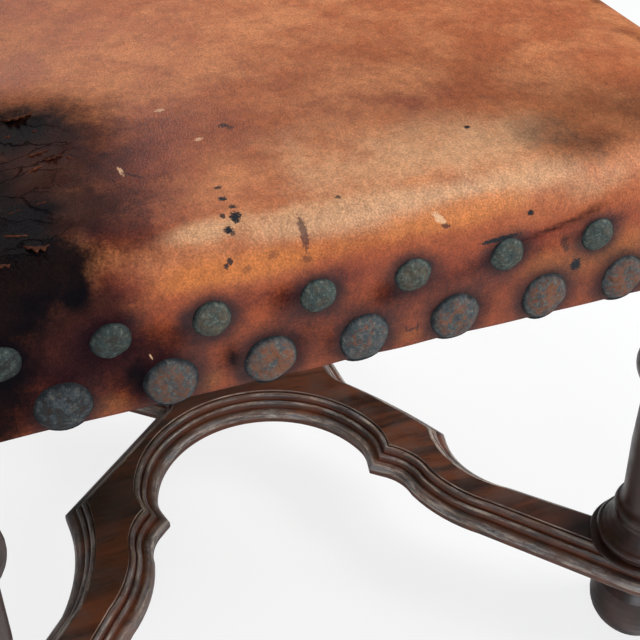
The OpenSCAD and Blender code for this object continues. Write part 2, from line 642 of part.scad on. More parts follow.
module pad(hx, hy, rc, z0, rings) {
    k = len(rings) - 1;
    n = ring_n;
    polyhedron(concat(ring_points(hx, hy, rc, z0, rings), [[0, 0, z0]]),
        concat(skin_faces(k, 0, false), [for (i = [0 : n - 1]) [i, (i + 1) % n, k * n + 1]]));
}
// A sheet of leather: two such skins, the inner one drawn in, joined along the hem.
module leather_shell(hx, hy, rc, z0, outer, inset, inner) {
    k = len(outer) - 1;
    n = ring_n;
    m = k * n + 1;
    inner_points = ring_points(hx - inset, hy - inset, rc, z0, inner);
    polyhedron(concat(ring_points(hx, hy, rc, z0, outer), inner_points),
        concat(skin_faces(k, 0, false), skin_faces(k, m, true),
            [for (i = [0 : n - 1], half = [0, 1]) let (a = i, b = (i + 1) % n)
                half == 0 ? [a, b, b + m] : [a, b + m, a + m]]));
}
module corners_off(n) {
    difference() {
        children();
        for (sx = [-1, 1], sy = [-1, 1]) translate([sx * half_w, sy * half_d, seat_edge_z])
            cube([2 * n, 2 * n, 4 * (edge_h + roll_r)], center = true);
    }
}
module seat_stuffing() {
    color("#6b5540") placed() corners_off(notch)
        pad(half_w - skin, half_d - skin, seat_corner_r, pad_z,
            cushion_rings(edge_h - pad_z + seat_edge_z, roll_r - skin, crown));
}
module seat_leather() {
    color(hide) placed() corners_off(notch) difference() {
        leather_shell(half_w, half_d, seat_corner_r, seat_edge_z,
            cushion_rings(edge_h, roll_r, crown),
            leather_t, cushion_rings(edge_h, roll_r - leather_t, crown));
        seat_nail_places() rotate([-90, 0, 0]) translate([0, 0, -1])
            cylinder(r = shank_hole_r, h = leather_t + 2);
    }
}
seat_corner_r = 30;
module seat_nail_places() {
    on_front() nail_places(cross_large, cross_small) children();
    on_rear() nail_places(cross_large, cross_small) children();
    on_left() nail_places(large_u, small_u) children();
    on_right() nail_places(large_u, small_u) children();
}

// Dome headed nail, its axis along +Y into the wood, the underside of its head at y = 0.
module nail(r, h, l = nail_shank_l) {
    lip = 0.8;
    point = 3;
    dome = -tan(atan2(h - lip, r) / 2);
    rotate([-90, 0, 0]) {
        rotate_extrude() polygon(rounded([[0, 0, 0], [r, 0, 0], [r, -lip, dome], [0, -h, 0]]));
        cylinder(r = nail_shank_r, h = l - point);
        translate([0, 0, l - point]) cylinder(r1 = nail_shank_r, r2 = 0.3, h = point);
    }
}
module seat_nails_large() {
    color(iron) placed() {
        on_front() nail_places(cross_large, []) nail(large_head_r, nail_h_large);
        on_rear() nail_places(cross_large, []) nail(large_head_r, nail_h_large);
        on_left() nail_places(large_u, []) nail(large_head_r, nail_h_large);
        on_right() nail_places(large_u, []) nail(large_head_r, nail_h_large);
    }
}
module seat_nails_small() {
    color(iron) placed() {
        on_front() nail_places([], cross_small) nail(small_head_r, nail_h_small);
        on_rear() nail_places([], cross_small) nail(small_head_r, nail_h_small);
        on_left() nail_places([], small_u) nail(small_head_r, nail_h_small);
        on_right() nail_places([], small_u) nail(small_head_r, nail_h_small);
    }
}

// Arm: a rounded section carried along a curve in the side view, from the rear post down
// to the scroll in front of the arm post. It lies level where it rests on the arm post.
arm_rings = 20;
arm_sides = 12;
arm_dip = 14;
arm_rear_w = 28;            // an arm's width where it meets the back
arm_mid = arm_z - arm_t / 2;
arm_level_y = -leg_y + 34;
function arm_point(s) =
    let (y = arm_join_y + (scroll_y - arm_join_y) * s,
         t = max(0, (y - arm_level_y) / (arm_join_y - arm_level_y)))
    [y, arm_mid + (arm_rear_z - arm_mid) * (3 - 2 * t) * t * t - arm_dip * pow(sin(180 * t), 2)];
function arm_slope(s) = let (e = 0.01, a = arm_point(max(0, s - e)), b = arm_point(min(1, s + e)))
    atan2(a.y - b.y, a.x - b.x);
function squircle(c) = sign(c) * pow(abs(c), 0.55);
function arm_ring(s) =
    let (c = arm_point(s), tilt = s == 0 ? -rake : arm_slope(s),
         w = arm_rear_w / 2 + (arm_w - arm_rear_w) / 2 * sin(min(90, 130 * s)))
    [for (k = [0 : arm_sides - 1])
        let (a = 360 * (k + 0.5) / arm_sides, h = arm_t / 2 * squircle(sin(a)))
        [w * squircle(cos(a)) - leg_x, c.x - h * sin(tilt), c.y + h * cos(tilt)]];
module arm() {
    points = [for (i = [0 : arm_rings]) each arm_ring(i / arm_rings)];
    m = arm_sides;
    difference() {
        union() {
            polyhedron(points, concat([[for (k = [0 : m - 1]) k]],
                [for (i = [0 : arm_rings - 1], k = [0 : m - 1], half = [0, 1])
                    let (a = i * m + k, b = i * m + (k + 1) % m, c = a + m, d = b + m)
                    half == 0 ? [a, d, b] : [a, c, d]],
                [[for (k = [m - 1 : -1 : 0]) arm_rings * m + k]]));
            translate([-leg_x - scroll_w / 2, scroll_y, scroll_z]) rotate([0, 90, 0]) scroll();
            arm_tenon(0);
        }
        translate([-leg_x, -leg_y, arm_z - arm_t - 20])
            cylinder(r = arm_tenon_r + fit, h = post_tenon_l + 21);
    }
}
scroll_w = arm_w + 6;
scroll_z = arm_z + 2 - scroll_r;
// The scroll is a short drum with a sunk ring and a round eye on each end.
module scroll() {
    l = scroll_w;
    rotate_extrude() polygon([[0, -2], [6, -2], [7, -1], [7, 1.5], [11, 1.5], [13, 0],
        [scroll_r - 1, 0], [scroll_r, 1], [scroll_r, l - 1], [scroll_r - 1, l], [13, l],
        [11, l - 1.5], [7, l - 1.5], [7, l + 1], [6, l + 2], [0, l + 2]]);
}
module arm_left() { color(wood) placed() arm(); }
module arm_right() { color(wood) placed() mirrored() arm(); }

// Back rails between the posts, with tenons that stop inside them.
module back_rail(z) {
    difference() {
        union() {
            leaning() translate([post_w / 2 - leg_x, back_rail_mid - back_rail_t / 2, z])
                cube([2 * leg_x - post_w, back_rail_t, back_rail_h]);
            leaning() intersection() {
                back_tenons(0);
                translate([-leg_x, -post_d, z]) cube([2 * leg_x, 2 * post_d, back_rail_h]);
            }
        }
        back_nail_holes();
    }
}
module back_top_rail() { color(wood) placed() back_rail(back_top_z); }
module back_lower_rail() { color(wood) placed() back_rail(back_low); }

// Back upholstery, drawn flat on the frame's front face, with z pointing forward.
back_border = 40;           // flat leather round the pad
back_roll = 13;
back_corner_r = 34;
back_web_z = layer_gap + web_rise;
back_hessian_z = back_web_z + web_rise + layer_gap;
back_pad_z = back_hessian_z + hessian_t + soft_gap;
back_gap_x = 84;
back_gap_z = 72;
pad_half_w = back_half_w - back_border;
pad_half_h = back_half_h - back_border;
module back_webbing() {
    color(jute) placed() on_back_front(back_web_z)
        web([for (i = [-2 : 2]) i * back_gap_x], [for (i = [-2 : 2]) i * back_gap_z],
            pad_half_w - 1, pad_half_h - 1);
}
module back_hessian() {
    color(jute) placed() on_back_front(back_hessian_z) linear_extrude(hessian_t)
        square([2 * pad_half_w - 12, 2 * pad_half_h - 12], center = true);
}
module back_stuffing() {
    color("#6b5540") placed() on_back_front(0) pad(pad_half_w, pad_half_h, back_corner_r,
        back_pad_z, cushion_rings(1, back_roll, back_crown - back_roll));
}
// The leather lies flat on the frame round the pad, then rises over it. Its edge is cut out
// round each arm.
function back_rings(grow) =
    let (foot = back_border - grow, r = back_roll + grow, z = back_pad_z - layer_gap + 1)
    concat([[0, 0, 1], [foot / 2, 0, 1], [foot - 4, 0, 1], [foot, z + 2, 1]],
        [for (i = [1 : roll_steps]) [foot + r * (1 - cos(90 * i / roll_steps)),
            z + 2 + (r - 2) * sin(90 * i / roll_steps), 1]],
        crown_rings(foot + r, z + r, back_crown - back_roll));
module back_leather() {
    color(hide) placed() difference() {
        on_back_front(0) leather_shell(back_half_w, back_half_h, back_corner_r, layer_gap,
            [for (g = back_rings(skin)) [g.x, g.y + leather_t, g.z]], 0, back_rings(soft_gap));
        on_back_front(0) back_nail_places() cylinder(r = shank_hole_r, h = 10);
        for (s = [-1, 1]) arm_notch(s);
    }
}
module arm_notch(s) {
    x = arm_rear_w / 2 + 0.5;
    z = arm_t / 2 + 0.5;
    translate([s * leg_x, arm_join_y, arm_rear_z]) rotate([-rake, 0, 0])
        scale([s, 1, 1]) translate([-x, -30, -z]) cube([2 * x + 20, 60, 2 * z]);
}
module outside_back_leather() {
    color(hide) placed() on_back_rear(soft_gap) difference() {
        linear_extrude(leather_t) square([2 * back_half_w, 2 * back_half_h], center = true);
        back_nail_places() translate([0, 0, -1]) cylinder(r = shank_hole_r, h = leather_t + 2);
    }
}
module back_nails() {
    color(iron) placed() on_back_front(layer_gap + leather_t) back_nail_places()
        rotate([-90, 0, 0]) nail(small_head_r, nail_h_small, back_shank_l);
}
module outside_back_nails() {
    color(iron) placed() on_back_rear(soft_gap + leather_t) back_nail_places()
        rotate([-90, 0, 0]) nail(small_head_r * 0.6, nail_h_small * 0.7, outside_shank_l);
}

stretcher_left();
stretcher_right();
stretcher_dowels();
bun_feet();
front_leg_left();
front_leg_right();
rear_leg_left();
rear_leg_right();
front_seat_rail();
rear_seat_rail();
left_seat_rail();
right_seat_rail();
tenon_pegs();
corner_blocks();
corner_block_screws();
seat_webbing();
seat_hessian();
seat_stuffing();
seat_leather();
seat_nails_large();
seat_nails_small();
arm_left();
arm_right();
back_top_rail();
back_lower_rail();
back_webbing();
back_hessian();
back_stuffing();
back_leather();
outside_back_leather();
back_nails();
outside_back_nails();
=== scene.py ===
import math
import bpy
import numpy as np
from mathutils import Matrix


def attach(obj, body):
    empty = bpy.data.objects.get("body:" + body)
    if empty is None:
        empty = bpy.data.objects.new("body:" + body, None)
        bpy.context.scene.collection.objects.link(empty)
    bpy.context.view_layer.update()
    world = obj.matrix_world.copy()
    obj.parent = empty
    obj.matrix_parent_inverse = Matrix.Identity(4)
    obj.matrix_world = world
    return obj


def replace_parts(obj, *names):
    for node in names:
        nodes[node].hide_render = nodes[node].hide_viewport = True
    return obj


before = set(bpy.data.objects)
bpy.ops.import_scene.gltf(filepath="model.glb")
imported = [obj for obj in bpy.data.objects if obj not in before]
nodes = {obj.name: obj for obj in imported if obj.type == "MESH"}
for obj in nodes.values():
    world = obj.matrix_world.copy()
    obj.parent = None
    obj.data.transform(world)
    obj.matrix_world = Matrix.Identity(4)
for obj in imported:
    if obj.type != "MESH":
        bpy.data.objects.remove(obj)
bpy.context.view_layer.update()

# Photographer's view: the chair's left side from behind and above, close to the seat.
# Its axes and place come from the camera fitted to the photograph.
scene = bpy.context.scene


def turned_to(axes, place):
    """The matrix of a thing at place, with its own axes along the three given."""
    return Matrix([[*(axis[i] for axis in axes), place[i]] for i in range(3)] + [[0, 0, 0, 1]])


def in_scene(name, data):
    """A new object of the scene."""
    made = bpy.data.objects.new(name, data)
    scene.collection.objects.link(made)
    return made


camera_data = bpy.data.cameras.new("camera")
camera_data.lens = 67.5
camera_data.sensor_width = 36.0
camera_data.clip_start = 0.01
camera = in_scene("camera", camera_data)
scene.camera = camera
camera_axes = (
    (-0.36074, -0.93267, 0.00179), (0.54608, -0.20966, 0.81107), (-0.75609, 0.29356, 0.58494))
camera.matrix_world = turned_to(camera_axes, (-0.80585, 0.20115, 0.75717))

# Studio: a white floor that keeps the chair's shadow, a white room for what the camera sees
# past it, a soft key lamp at the front left, a weaker fill at the left rear and one at the right.
scene.view_settings.view_transform = "Standard"
world = bpy.data.worlds.new("room")
scene.world = world
world.use_nodes = True


def wire(node, inputs):
    """Sets inputs of a node, by name or number, to values or other nodes' outputs."""
    for name, value in inputs.items():
        if isinstance(value, bpy.types.NodeSocket):
            node.id_data.links.new(value, node.inputs[name])
        else:
            node.inputs[name].default_value = value


def put(tree, kind, inputs=None, **settings):
    """Adds a shader node and returns its outputs."""
    made = tree.nodes.new("ShaderNode" + kind)
    for name, value in settings.items():
        setattr(made, name, value)
    wire(made, inputs or {})
    return made.outputs


def calc(operation, a, b=0.0, clamp=False):
    """One sum on an output and a number or output, in the first one's tree."""
    return put(a.id_data, "Math", {0: a, 1: b}, operation=operation, use_clamp=clamp)[0]


def times(a, b, clamp=False):
    """An output times a number or output."""
    return calc("MULTIPLY", a, b, clamp)


tree = world.node_tree
tree.nodes.clear()
rays = put(tree, "LightPath")
level = put(tree, "MapRange", {"Value": rays["Is Glossy Ray"], "To Min": 0.3, "To Max": 0.16})[0]
dim = put(tree, "Background", {"Color": (0.85, 0.93, 1.0, 1), "Strength": level})[0]
white = put(tree, "Background", {"Color": (1, 1, 1, 1), "Strength": 1.0})[0]
mixed = put(tree, "MixShader", {0: rays["Is Camera Ray"], 1: dim, 2: white})[0]
put(tree, "OutputWorld", {"Surface": mixed})


def lamp(name, spot, aim, size, watts, tint=(1, 1, 1)):
    """A square soft lamp at spot, turned to face aim."""
    data = bpy.data.lights.new(name, "AREA")
    data.shape = "SQUARE"
    data.size = size
    data.energy = watts
    data.color = tint
    made = in_scene(name, data)
    way = np.subtract(spot, aim)
    side = np.cross((0, 0, 1), way)
    axes = [v / np.linalg.norm(v) for v in (side, np.cross(way, side), way)]
    made.matrix_world = turned_to(axes, spot)


lamp("key", (-0.9, -1.9, 1.9), (-0.2, 0, 0.4), 1.1, 60)
lamp("fill", (-2.2, 0.9, 1.2), (-0.2, 0, 0.3), 1.2, 22, (0.9, 0.95, 1.0))
lamp("back", (1.5, 0.4, 2.0), (0, 0, 0.4), 1.0, 26)

floor_half, floor_z = 6, -0.0005
floor_mesh = bpy.data.meshes.new("floor")
floor_plan = ((-1, -1), (1, -1), (1, 1), (-1, 1))
floor_corners = [(x * floor_half, y * floor_half, floor_z) for x, y in floor_plan]
floor_mesh.from_pydata(floor_corners, [], [(0, 1, 2, 3)])
floor = in_scene("floor", floor_mesh)
pale_floor = bpy.data.materials.new("pale_floor")
pale_floor.use_nodes = True
tree = pale_floor.node_tree
tree.nodes.clear()
seen_white = times(put(tree, "LightPath")["Is Camera Ray"], 0.8)
matt = put(tree, "BsdfDiffuse", {"Color": (0.85, 0.85, 0.85, 1)})[0]
glow = put(tree, "Emission", {"Color": (1, 1, 1, 1), "Strength": 1.0})[0]
both = put(tree, "MixShader", {0: seen_white, 1: matt, 2: glow})[0]
put(tree, "OutputMaterial", {"Surface": both})
floor_mesh.materials.append(pale_floor)

# Walnut: the wood of the legs, stretcher, arms and back posts. Dark and waxed, with a dull
# blue-grey bloom where the polish has gone cloudy, worn pale on the arrises of its moulding,
# and a painted sheen that pales the crests of its reeds and ovolo.


def group(name, vectors, numbers, results):
    """An empty shader group: its tree, its inputs' sockets and its output node."""
    made = bpy.data.node_groups.new(name, "ShaderNodeTree")
    ends = (("INPUT", "Vector", vectors), ("INPUT", "Float", numbers), ("OUTPUT", "Float", results))
    for way, kind, labels in ends:
        for label in labels:
            made.interface.new_socket(label, in_out=way, socket_type="NodeSocket" + kind)
    return made, made.nodes.new("NodeGroupInput").outputs, made.nodes.new("NodeGroupOutput")


def use(tree, shared, **inputs):
    """Places a shared group and returns its outputs."""
    return put(tree, "Group", inputs, node_tree=shared)


def plus(a, b, clamp=False):
    """An output plus a number or output."""
    return calc("ADD", a, b, clamp)


def spread(value, low, high, to_low=0.0, to_high=1.0):
    """Stretches low..high to to_low..to_high, soft at both ends."""
    ends = {0: value, 1: low, 2: high, 3: to_low, 4: to_high}
    return put(value.id_data, "MapRange", ends, interpolation_type="SMOOTHSTEP")[0]


def shifted(vector, **place):
    """The vector scaled, turned or moved."""
    return put(vector.id_data, "Mapping", {"Vector": vector, **place})[0]


def noise(vector, scale, detail, rough=0.55, stretch=(1, 1, 1), shift=(0, 0, 0)):
    """Cloudy noise, scale times per unit of the vector, drawn out where stretch is small."""
    placed = shifted(vector, Scale=stretch, Location=shift)
    look = {"Vector": placed, "Scale": scale, "Detail": detail, "Roughness": rough}
    return put(vector.id_data, "TexNoise", look)["Fac"]


def blend(share, a, b):
    """Mixes colour a towards b."""
    ends = {0: share, 6: a, 7: b}
    return put(share.id_data, "Mix", ends, data_type="RGBA", clamp_factor=True)[2]


def bump(height, strength, distance):
    """A normal pushed about by a height of 0 to 1 times a distance in metres."""
    look = {"Height": height, "Strength": strength, "Distance": distance}
    return put(height.id_data, "Bump", look)[0]


def vectors(operation, a, b, slot=1):
    """One sum on a vector or colour and a second one, or a number in its own slot."""
    return put(a.id_data, "VectorMath", {0: a, slot: b}, operation=operation)[0]


def read(tree, label):
    """A number that the piece's own mesh carries under a name."""
    return put(tree, "Attribute", attribute_name=label)["Fac"]


def rgb(red, green, blue):
    """A colour given in numbers from 0 to 255, as the shader wants it."""
    c = np.array((red, green, blue)) / 255.0
    return (*np.where(c < 0.04045, c / 12.92, ((c + 0.055) / 1.055) ** 2.4), 1.0)


wood_grain, given, result = group("wood grain", ["Vector"], [], ["Figure", "Pores"])
warp = noise(given["Vector"], 9, 3)
aside = put(wood_grain, "CombineXYZ", {0: times(warp, 0.03), 2: times(warp, 0.02)})[0]
bent = vectors("ADD", given["Vector"], aside)
figure = noise(bent, 60, 5, 0.6, (1, 0.09, 1))
pores = noise(bent, 620, 2, 0.5, (1, 0.045, 1))
wire(result, {"Figure": spread(figure, 0.3, 0.7), "Pores": spread(pores, 0.62, 0.75)})

patches, given, result = group("patches", ["Vector"], ["Scale", "From", "To"], ["Mask"])
cloud = noise(given["Vector"], given["Scale"], 6.0, 0.6)
wire(result, {"Mask": spread(cloud, given["From"], given["To"])})


def new_finish(name, **shine):
    """A new material, its tree, its Principled shader and its object coordinates."""
    made = bpy.data.materials.new(name)
    made.use_nodes = True
    tree = made.node_tree
    shader = tree.nodes["Principled BSDF"]
    wire(shader, {label.replace("_", " "): value for label, value in shine.items()})
    return made, tree, shader, put(tree, "TexCoord")["Object"]


def walnut(name, angles, dull=0.35, moulded=False):
    """Walnut with its grain, made for Y, turned by angles and clouded by dull. The mesh of a moulded
    piece carries worn, 1 on arrises and -1 in grooves, which pales the crests with wear and
    a painted sheen, run and rung, millimetres along and down the moulding, and soot, near-black
    patches."""
    made, tree, shader, here = new_finish(name, Coat_Weight=0.25, Coat_Roughness=0.28)
    grain = use(tree, wood_grain, Vector=shifted(here, Rotation=angles))
    bloom = use(tree, patches, Vector=here, Scale=34.0, From=0.42, To=0.66)[0]
    light = rgb(108, 58, 34) if moulded else rgb(60, 30, 19)
    tone = blend(grain["Figure"], rgb(34, 16, 10), light)
    tone = blend(times(bloom, dull), tone, rgb(84, 78, 76))
    if moulded:
        worn, run, rung, soot = (read(tree, label) for label in ("worn", "run", "rung", "soot"))
        chart = put(tree, "CombineXYZ", {0: run, 1: rung})[0]
        streak = noise(chart, 0.42, 5, 0.7, (0.07, 1, 1))
        scuff = spread(noise(chart, 0.11, 5, 0.7, (0.3, 1, 1), (40, 9, 0)), 0.42, 0.62)
        # Painted sheen: the crests are paled towards grey-blue and tan, partly by wear and partly standing
        # for the light that they catch.
        crest = blend(spread(streak, 0.42, 0.6), rgb(116, 114, 116), rgb(196, 178, 162))
        paled = times(spread(worn, 0.1, 0.7), spread(scuff, 0, 1, 0.3, 0.95))
        bared = times(spread(worn, 0.72, 1.0), spread(streak, 0.35, 0.6, 0.3, 1.0))
        tone = blend(paled, tone, crest)
        tone = blend(bared, tone, rgb(184, 140, 104))
        tone = blend(times(worn, -0.85, True), tone, rgb(96, 44, 20))
        tone = blend(times(soot, 0.9), tone, rgb(12, 11, 13))
    tone = blend(times(grain["Pores"], 0.7), tone, rgb(18, 9, 6))
    height = calc("SUBTRACT", times(grain["Figure"], 0.3), grain["Pores"])
    wire(shader, {"Base Color": tone, "Roughness": plus(times(bloom, 0.18), 0.36),
                  "Normal": bump(height, 0.35, 0.0006)})
    return made


def finish_nodes(material, *names):
    """Gives CAD pieces their material."""
    for name in names:
        mesh = nodes[name].data
        mesh.materials.clear()
        mesh.materials.append(material)


walnut_upright = walnut("walnut_upright", (math.pi / 2, 0, 0), 0.12)
walnut_along = walnut("walnut_along", (0, 0, 0))
walnut_across = walnut("walnut_across", (0, 0, math.pi / 2))
finish_nodes(walnut_upright, "front_leg_left", "front_leg_right", "rear_leg_left", "rear_leg_right",
             "bun_feet", "tenon_pegs")
finish_nodes(walnut_across, "back_top_rail", "back_lower_rail")

# Stretcher: two flat walnut halves, each sawn to an outline with an arch on its outer side,
# joined on the centre line and worked all round with two reeds, an ovolo and a square band.
# From here on places are in millimetres, from the floor and the seat's middle.
seat_half_w, seat_half_d, leg_inset = 322.0, 277.0, 29.5
leg_x, leg_y = seat_half_w - leg_inset, seat_half_d - leg_inset
set_back = 0.02 * -0.995471     # y of the seat's middle in the frame, in metres


def piece_from(name, points, faces, finish, slot, smooth_below=35.0, **attributes):
    """A mesh from points and four-sided faces. Points that coincide become one, and a face whose
    corners then meet becomes a triangle or goes. Attributes are numbers, one a point or one for all."""
    points = points.reshape(-1, 3)
    _, first, same = np.unique(np.round(points, 3), axis=0, return_index=True, return_inverse=True)
    faces = same.ravel()[faces]
    kept = faces != np.roll(faces, 1, axis=1)
    corners = kept.sum(axis=1)
    sound = corners > 2
    loops, totals = faces[sound][kept[sound]], corners[sound]
    mesh = bpy.data.meshes.new(name)
    mesh.vertices.add(len(first))
    in_metres = points[first] * 0.001 + (0, set_back, 0)
    mesh.vertices.foreach_set("co", in_metres.astype(np.float32).ravel())
    mesh.loops.add(len(loops))
    mesh.loops.foreach_set("vertex_index", loops.astype(np.int32))
    mesh.polygons.add(len(totals))
    mesh.polygons.foreach_set("loop_start", (np.cumsum(totals) - totals).astype(np.int32))
    for label, values in attributes.items():
        layer = mesh.attributes.new(label, "FLOAT", "POINT")
        layer.data.foreach_set("value", np.resize(values, len(points))[first].astype(np.float32))
    mesh.update(calc_edges=True)
    mesh.validate()
    mesh.polygons.foreach_set("use_smooth", np.ones(len(mesh.polygons), bool))
    mesh.set_sharp_from_angle(angle=math.radians(smooth_below))
    mesh.materials.append(finish)
    made = in_scene(name, mesh)
    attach(made, "root")
    return made


def grid_faces(rows, columns, closed=False, start=0, copies=1):
    """Four-sided faces of a grid of points stored row by row, or of copies of it one after
    another; closed joins the last column to the first."""
    last = columns if closed else columns - 1
    n, i, j = np.meshgrid(np.arange(copies), np.arange(rows - 1), np.arange(last), indexing="ij")
    k = (j + 1) % columns
    square = [i * columns + j, i * columns + k, (i + 1) * columns + k, (i + 1) * columns + j]
    return (start + n[..., None] * rows * columns + np.stack(square, axis=-1)).reshape(-1, 4)


stretcher_top, stretcher_t = 86.0, 22.0
leg_spot = np.array((leg_y, leg_inset))
pad_from, pad_to, pad_r = math.radians(-140.4), math.radians(103.3), 24.0
pad_bulge = math.tan((pad_to - pad_from) / 8)


def round_end(turn):
    """The point of the round end under a leg, turn radians from straight ahead."""
    return leg_spot + pad_r * np.array((math.cos(turn), math.sin(turn)))


def corners(*places):
    """Corners of an outline as rows of x, y and the bulge of the side that follows."""
    return np.array([(*spot, bulge) for spot, bulge in places])


def rearward(rows, *bulges):
    """The same corners on the rear half, last to first."""
    return np.column_stack([-rows[::-1, 0], rows[::-1, 1], bulges])


arch_r, arch_in, spring = 109.5, 198.0, math.radians(14.4)
spring_bulge = math.tan(spring / 2)
cusp = arch_r * math.cos(spring)
pad_tip = round_end((pad_from + pad_to) / 2)
bridge_front, bridge_rear, bridge_r, rear_turn = 92.5, -44, 22, math.radians(42)
bridge_end = (bridge_rear - bridge_r * (1 - math.cos(rear_turn)),
              seat_half_w - bridge_r * math.sin(rear_turn))
far_front = corners(
    (pad_tip, pad_bulge), (round_end(pad_to), -0.281), (leg_spot + (-28, 32.5), 0),
    (leg_spot + (-76, 86), -0.29), ((cusp + 38, arch_in + 8), 0.05))
far_bridge = corners(
    ((95.3, seat_half_w - 28.4), -0.118), ((bridge_front, seat_half_w - 17), 0),
    ((bridge_front, seat_half_w), 0), ((bridge_rear, seat_half_w), -math.tan(rear_turn / 4)),
    (bridge_end, 0))
far_rear = rearward(far_front, -0.16, 0, -0.281, pad_bulge, 0)
far_rear[0, 1] += 15            # the rear far cusp was sawn further in
far_side = np.concatenate([far_front, far_bridge, far_rear])
near_front = corners(
    (pad_tip, -pad_bulge), (round_end(pad_from), 0), (leg_spot + (-94, 78.7), -0.14),
    ((cusp + 20, arch_in - 40), 0.215), ((cusp, arch_in), spring_bulge),
    ((cusp, arch_in + arch_r * math.sin(spring)), math.tan(math.pi / 4 - spring / 2)))
near_rear = rearward(near_front, spring_bulge, 0.215, -0.14, 0, -pad_bulge, 0)
near_side = np.concatenate([near_front, near_rear])


def on_outline(outline, place):
    """The point at each place along an outline: the whole part of place picks the side, and its
    fraction how far along it. A side with a bulge b is an arc of four times the arc tangent of b."""
    side = np.minimum(place.astype(int), len(outline) - 2)
    share = (place - side)[:, None]
    a, b, bulge = outline[side, :2], outline[side + 1, :2], outline[side, 2:]
    chord = b - a
    bent = np.abs(bulge) > 1e-6
    sweep = np.where(bent, 4 * np.arctan(bulge), 1.0)
    length = np.linalg.norm(chord, axis=1, keepdims=True)
    radius = length / 2 / np.sin(sweep / 2)
    square_to = np.c_[-chord[:, 1], chord[:, 0]] / length
    middle = (a + b) / 2 + square_to * radius * np.cos(sweep / 2)
    start = np.arctan2(a[:, 1:] - middle[:, 1:], a[:, :1] - middle[:, :1])
    angle = start + sweep * share
    arc = middle + np.abs(radius) * np.hstack([np.cos(angle), np.sin(angle)])
    return np.where(bent, arc, a + chord * share)


# Stations that face each other across the flat top, on the far and the near side.
far_places = [0, 1, 2, 3, 3.5, 4, 4.35, 5, 6, 7, 8, 9, 9.65, 10, 10.5, 11, 12, 13, 14]
near_places = [0, 1, 1.35, 2, 3, 4, 5, 5.238, 5.31, 5.381, 5.619, 5.69, 6, 7, 8, 9, 9.65, 10, 11]
steps = [14, 8, 14, 8, 8, 10, 20, 4, 4, 24, 6, 20, 10, 8, 8, 14, 8, 14]
stations = np.arange(len(steps) + 1)
place_on = np.concatenate([np.arange(n) / n + k for k, n in enumerate(steps)] + [stations[-1:]])
far_line = on_outline(far_side, np.interp(place_on, stations, far_places))
near_line = on_outline(near_side, np.interp(place_on, stations, near_places))


def fan(x, y, radius, start, end, count):
    """Points of a quarter or half round of the moulding, outward and down."""
    turn = np.radians(np.linspace(start, end, count))
    return np.c_[x + radius * np.cos(turn), y - radius * np.sin(turn)]


ovolo = np.radians(np.linspace(90, 0, 9))
moulding = np.vstack([
    [0, 0], [0.2, 0.5], [0.3, 2.4], fan(2.3, 4.4, 2.4, 150, 5, 9),
    [4.9, 6.8], fan(7.0, 9.6, 2.4, 150, 5, 9), [9.7, 12.0],
    np.c_[10.3 + 7.7 * np.cos(ovolo), 17.6 - 5.5 * np.sin(ovolo)],
    [18, 18.6], [18, 20], [18, 21.3], [17.8, 21.8], [17.2, 22]])
worn = np.interp(
    np.arange(len(moulding)),
    [0, 1, 2, 3, 7, 11, 12, 13, 17, 21, 22, 23, 27, 31, 32, 33, 34, 35, 36],
    [0, 1, -0.3, 0.3, 0.8, 0, -1, 0.1, 0.8, 0, -1, 0.1, 0.65, 0.5, -0.6, -0.3, 0.2, 0.9, 0])


def blots(along, height, rows):
    """Soft spots: each row is place along, height, half length, half height, slope and strength;
    they add up like coats of thin ink."""
    clear = np.ones_like(along)
    for a, h, long, high, slope, strength in rows:
        d, e = along - a, height - h
        clear *= 1 - strength * np.exp(-((d + slope * e) / long) ** 2 - ((e - slope * d) / high) ** 2)
    return 1 - clear


# Near-black patches on the stretcher: two beside the leg bases, one at the rear far cusp and a faint one
# near the joint.
soot_spots = [
    (-142, 222, 34, 26, 0, 0.9), (208, 60, 16, 22, 0, 0.85), (-208, 60, 16, 22, 0, 0.8),
    (88, 292, 18, 10, 0, 0.4)]


